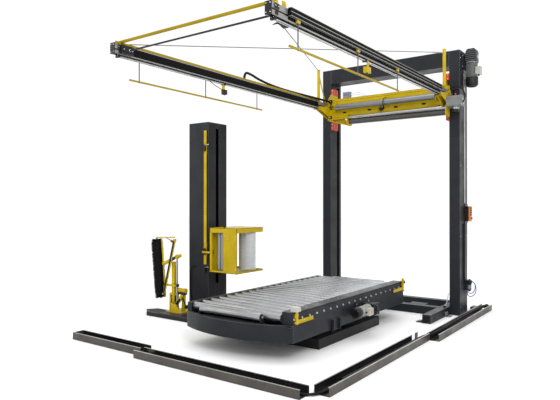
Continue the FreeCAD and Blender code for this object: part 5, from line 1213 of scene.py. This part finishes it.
def boom(name):
    """One boom: dark face bands, bare tip, lower guide rods, hangers and its top strip or tray."""
    centre, out = BOOMS[name], -1 if name == "left" else 1
    node, near = "boom_" + name, BOOM_NEAR
    piece = Piece(node + "_profile", "sheet_carriage", "profile", "profile_dark", "yellow", "bolt",
                  "black_plastic", "interior", "yellow_shade", replaces=[node], bevel=0.8)
    piece.extruded("y", boom_outline(centre), near, BOOM_FAR)
    bare = near + (215 if name == "right" else 120)
    for side in (-1, 1):
        face = centre + side * BOOM_HALF
        piece.box((face - side * 0.5, bare, 3034), (face + side * 0.9, 1440, 3113), 1)
        piece.boxes(4, (face - side * 0.5, near + 34, 3078), (face + side * 7, near + 92, 3116),
                    (face - side * 0.5, near + 46, 3030), (face + side * 7, near + 78, 3056))
        piece.bolts(face + side * 7, (near + 44, near + 82), 3097, (side, 0, 0), 4, 3)
        # Near-black strip in each T-slot: painted shade in the slot.
        piece.box((face - side * 9, near + 3, 3060), (face - side * 4, BOOM_FAR - 3, 3072), 5)
    piece.box((centre - 21, near + 2, 3022.2), (centre + 21, 1440, 3023.8), 1)
    piece.box((centre - 32, near - 8, 3021), (centre + 32, near, 3127), 4)
    piece.bolts((centre - 20, centre + 20), near - 8, (3038, 3110), FRONT, 4, 3)
    rods = (centre - 12, centre + 12)
    for x_at in rods:
        piece.rod((x_at, -2270, 3005), (x_at, 1410, 3005), 5, 3, 16)
    for along in (-2270, -700, 1400):
        piece.box((centre - 24, along - 12, 2995), (centre + 24, along + 12, 3023), 4)
        piece.bolts(rods, along - 12, 3014, FRONT, 3, 3)
    face = centre + out * BOOM_HALF
    for along in HANGER_Y[name]:
        piece.box((face, along - 22, 3035), (face + out * 20, along + 22, 3062), 2)
        piece.bolts(face + out * 20, (along - 13, along + 13), 3049, (out, 0, 0), 4, 3)
    if name == "left":
        # Top strip in the darker yellow: painted shade.
        piece.boxes(6, (centre - 16, -2320, 3125), (centre + 31, 1450, 3136),
                    (centre + 24, -2320, 3132), (centre + 31.5, 1450, 3146))
    else:
        outer = face + 30
        piece.boxes(0, (face, -2110, 3063), (outer, 1430, 3066), (outer - 3, -2110, 3128),
                    (outer + 2, 1430, 3133), (outer - 1, -2110, 3062), (outer + 2, 1430, 3067))
        piece.boxes(1, (outer - 3, -2110, 3066), (outer, 1430, 3128), (face, -2110, 3066),
                    (face + 3, 1430, 3133), (face + 3, -2110, 3066), (outer - 3, -2107, 3130),
                    (face + 3, 1427, 3066), (outer - 3, 1430, 3130))
        piece.rod((outer, -2110, 3097), (outer, 1430, 3097), 4, 0, 14)
        piece.extruded("x", [(-2120, 3125), (-2070, 3125), (-2070, 3180), (-2084, 3195), (-2120, 3195)],
                       centre - 24, centre - 14, 2)
        piece.bolt((centre - 24, -2100, 3150), LEFT, 6, 3)
    piece.ready()


def bracing():
    """Tip tie, posts, braces, crossed guy rods and the two hanging bars."""
    piece = Piece("boom_bracing_frame", "sheet_carriage", "yellow", "drive_grey", "bolt", "bright_steel",
                  "charcoal_edge", "yellow_shade", replaces=["boom_bracing"], bevel=0.8)
    left, right = BOOMS["left"], BOOMS["right"]
    # Tip tie in the darker yellow: painted shade.
    piece.rod((left - 20, -2250, 3149), (right + 20, -2250, 3149), 15, 5, 28)
    for centre, lower, lane, foot in ((left, 3134, left - 8, 28), (right, 3125, right + 62, 84)):
        piece.boxes(0, (centre - 22, -2270, lower), (centre + 22, -2230, lower + 20),
                    (centre - 28, 1480, 3125), (centre + foot, 1540, 3133),
                    (centre - 20, 1666, 3125), (centre + 20, 1710, 3133))
        piece.bolts((centre - 15, centre + 15), -2262, lower + 10, FRONT, 4, 2)
        piece.rod((lane, POST_Y, 3132), (lane, POST_Y, 3624), 22, 0, 28)
        piece.rod((centre, 1690, 3133), (lane, 1522, 3540), 9, 0, 20)
        piece.turned((lane, POST_Y, 3608), UP, [(0, 23.5), (15, 23.5), (18, 18)], 0, 28)
        piece.bolts((centre - 20, centre + 20), (1486, 1533), 3133, UP, 4, 2)
    for start, end in (((left, -2200, 3141), (right + 60, 1500, 3576)),
                       ((right - 37, -2290, 3095), (left - 8, 1500, 3610))):
        start, end = Vector(start), Vector(end)
        along = (end - start).normalized()
        piece.rod(start, end, 4.6, 1, 14)
        piece.rod(end - along * 185, end - along * 35, 9, 3, 20)
        for back in (190, 40):
            piece.rod(end - along * back, end - along * (back - 12), 10.5, 2, 6)
        piece.rod(start - along * 6, start + along * 30, 8, 2, 18)
    piece.boxes(0, (left - 12, -2214, 3133), (left + 12, -2186, 3150),
                (right - 43, -2302, 3083), (right - 31, -2278, 3107))
    for name, x_at, first, last, level in (("left", left - 39, -2097, 107, 2812),
                                           ("right", right + 39, -2106, 51, 2824)):
        # Hanging bar in the darker yellow: painted shade.
        piece.box((x_at - 8, first, level - 8), (x_at + 8, last, level + 8), 5)
        for along in HANGER_Y[name]:
            for low, high, radius, sides in ((level, 3034, 5.5, 16), (3022, 3035, 7, 6),
                                             (level + 6, level + 16, 7, 6), (level - 6, level - 13, 6, 6)):
                piece.rod((x_at, along, low), (x_at, along, high), radius, 4, sides)
    piece.ready()


def boom_sensors():
    """Sensors that hang under the booms."""
    left, right = BOOMS["left"], BOOMS["right"]
    piece = Piece("boom_sensors", "sheet_carriage", "yellow", "black_plastic", "red_plastic", "bolt",
                  bevel=1.4)
    piece.boxes(0, (left + 2, -742, 2930), (left + 12, -698, 2998), (left - 14, -742, 2990),
                (left + 12, -698, 2998), (left - 2, -752, 2880), (left + 4, -704, 2940),
                (right + 8, -676, 2958), (right + 14, -634, 3022), (right + 8, -676, 2898),
                (right + 14, -590, 2958), (right - 30, -676, 2898), (right + 8, -590, 2904),
                (right - 30, -676, 2904), (right + 8, -671, 2958))
    piece.boxes(1, (left + 4, -750, 2876), (left + 50, -698, 2932), (right - 26, -664, 2906),
                (right + 6, -602, 2938))
    piece.rod((left + 27, -724, 2876), (left + 27, -724, 2868), 8, 2, 18)
    piece.rod((right - 10, -633, 2900), (right - 10, -633, 2890), 10, 1, 20)
    piece.bolts(right + 14, (-664, -604), 2930, RIGHT, 4, 3)
    piece.ready()
    lead("boom_sensor_lead", "sheet_carriage",
         [(left + 13, -1031, 3020), (left + 13, -960, 2996), (left + 16, -860, 2956), (left + 22, -770, 2934),
          (left + 27, -736, 2924)], 4)


def gripper():
    """Cross shaft that pulls the sheet along both booms."""
    piece = Piece("gripper_shuttle", "sheet_gripper", "black_plastic", "teal", "bolt", "bright_steel",
                  replaces=["sheet_gripper"], bevel=1.2)
    piece.rod((-680, PULL_Y, PULL_Z), (1154, PULL_Y, PULL_Z), 9, 0, 24)
    piece.boxes(0, (-680, -2270, 3030), (-644, -2130, 3114), (-646, -2256, 3044), (-640, -2144, 3100),
                (1120, -2225, 3048), (1154, -2000, 3090), (1114, -2120, 3052), (1120, -2016, 3084))
    piece.bolts(-640, (-2252, -2148), 3072, RIGHT, 4.5, 2)
    piece.bolts(1114, (-2110, -2026), 3068, LEFT, 4.5, 2)
    jaw = [(-2092, 3049), (-2076, 3010), (-2040, 2998), (-2008, 3008), (-2002, 3049)]
    finger = [(-2196, 2992), (-2184, 2990), (-2120, 3016), (-2060, 3004), (-2060, 3020), (-2122, 3034)]
    piece.extruded("x", jaw, 1118, 1152, 1)
    piece.extruded("x", finger, 1122, 1146)
    for x_at, way in ((-636, RIGHT), (1112, LEFT)):
        piece.turned((x_at, PULL_Y, PULL_Z), way, [(0, 14), (14, 14), (16, 11)], 3, 28)
    piece.ready()


# ---------------------------------------------------------------- cords

def cords():
    """The two free cords."""
    cable = lead("duct_supply_cable", "floor_frame",
                 [(983, -2013, 17), (1105, -2019, 17), (1225, -2014, 17), (1330, -1984, 17),
                  (1388, -1900, 17), (1402, -1788, 17), (1405, -1678, 17), (1402, -1590, 17)], 12,
                 replaces=["duct_cable"])
    conduit = lead("boom_hose", "sheet_carriage",
                   [(-699, -330, 3145), (-699, -326, 3232), (-699, -190, 3226), (-699, 0, 3182),
                    (-699, 400, 3151), (-699, 950, 3155), (-651, 1360, 3150), (-651, 1730, 3150)], 16,
                   replaces=["boom_conduit"])


# ---------------------------------------------------------------- setting

def setting():
    """Camera, white floor and soft lights of the photo."""
    scene = bpy.context.scene
    scene.view_settings.view_transform = "Standard"
    eye = bpy.data.cameras.new("photo_camera")
    eye.lens, eye.sensor_width = 34.98, 36
    camera = bpy.data.objects.new("photo_camera", eye)
    camera.location = (3.705, -5.688, 1.5675)
    camera.rotation_euler = (math.radians(90.27), 0, math.radians(35.66))
    scene.collection.objects.link(camera)
    scene.camera = camera
    finish("studio_floor", (0.97, 0.97, 0.97), (0.96, 0.96, 0.96), rough=0.6, dust=0.0, bump=0.02, shine=0.1)
    ground = bpy.data.meshes.new("studio_floor")
    reach = 40
    ground.from_pydata([(-reach, -reach, 0), (reach, -reach, 0), (reach, reach, 0), (-reach, reach, 0)], [],
                       [(0, 1, 2, 3)])
    ground.materials.append(finishes["studio_floor"])
    plane = bpy.data.objects.new("studio_floor", ground)
    scene.collection.objects.link(plane)
    for name, place, power, size, aim in (
            ("key_light", (6.5, -6.0, 6.5), 330, 3.0, (0, 0, 1.2)),
            ("fill_light", (-6.5, -6.0, 4.5), 60, 5.0, (0, 0, 1.4)),
            ("back_light", (-3.0, 7.5, 6.0), 80, 4.0, (0, 0, 1.6)),
            ("top_light", (0.5, -0.5, 8.5), 150, 6.0, (0, 0, 0))):
        lamp = bpy.data.lights.new(name, "AREA")
        lamp.energy, lamp.size = power, size
        item = bpy.data.objects.new(name, lamp)
        item.location = place
        item.rotation_euler = (Vector(aim) - Vector(place)).to_track_quat("-Z", "Y").to_euler()
        scene.collection.objects.link(item)
    world = bpy.data.worlds.new("soft_room")
    world.use_nodes = True
    background = world.node_tree.nodes["Background"]
    background.inputs["Color"].default_value = (1.0, 1.0, 1.0, 1)
    background.inputs["Strength"].default_value = 1.04
    scene.world = world


make_finishes()
table_platform()
table_side()
axles()
for number in range(1, ROLLERS + 1):
    conveyor_roller(f"roller_{number:02d}")
for end in ("near", "far"):
    conveyor_roller(f"end_roller_{end}")
conveyor_drive()
photocells()
floor_frame()
mast()
switch_rail()
mast_base()
film_carriage()
film_reel()
clamp_stand()
wiper()
clamp()
gantry_column("gantry_column_left", *LEFT_COLUMN, 1)
gantry_column("gantry_column_right", *RIGHT_COLUMN, -1)
gantry_beam()
gantry_feet()
lift_drive()
control_box()
ducts()
floor_leads()
sheet_beams()
sheet_rollers()
carriage_drive()
boom("left")
boom("right")
bracing()
boom_sensors()
gripper()
cords()
setting()
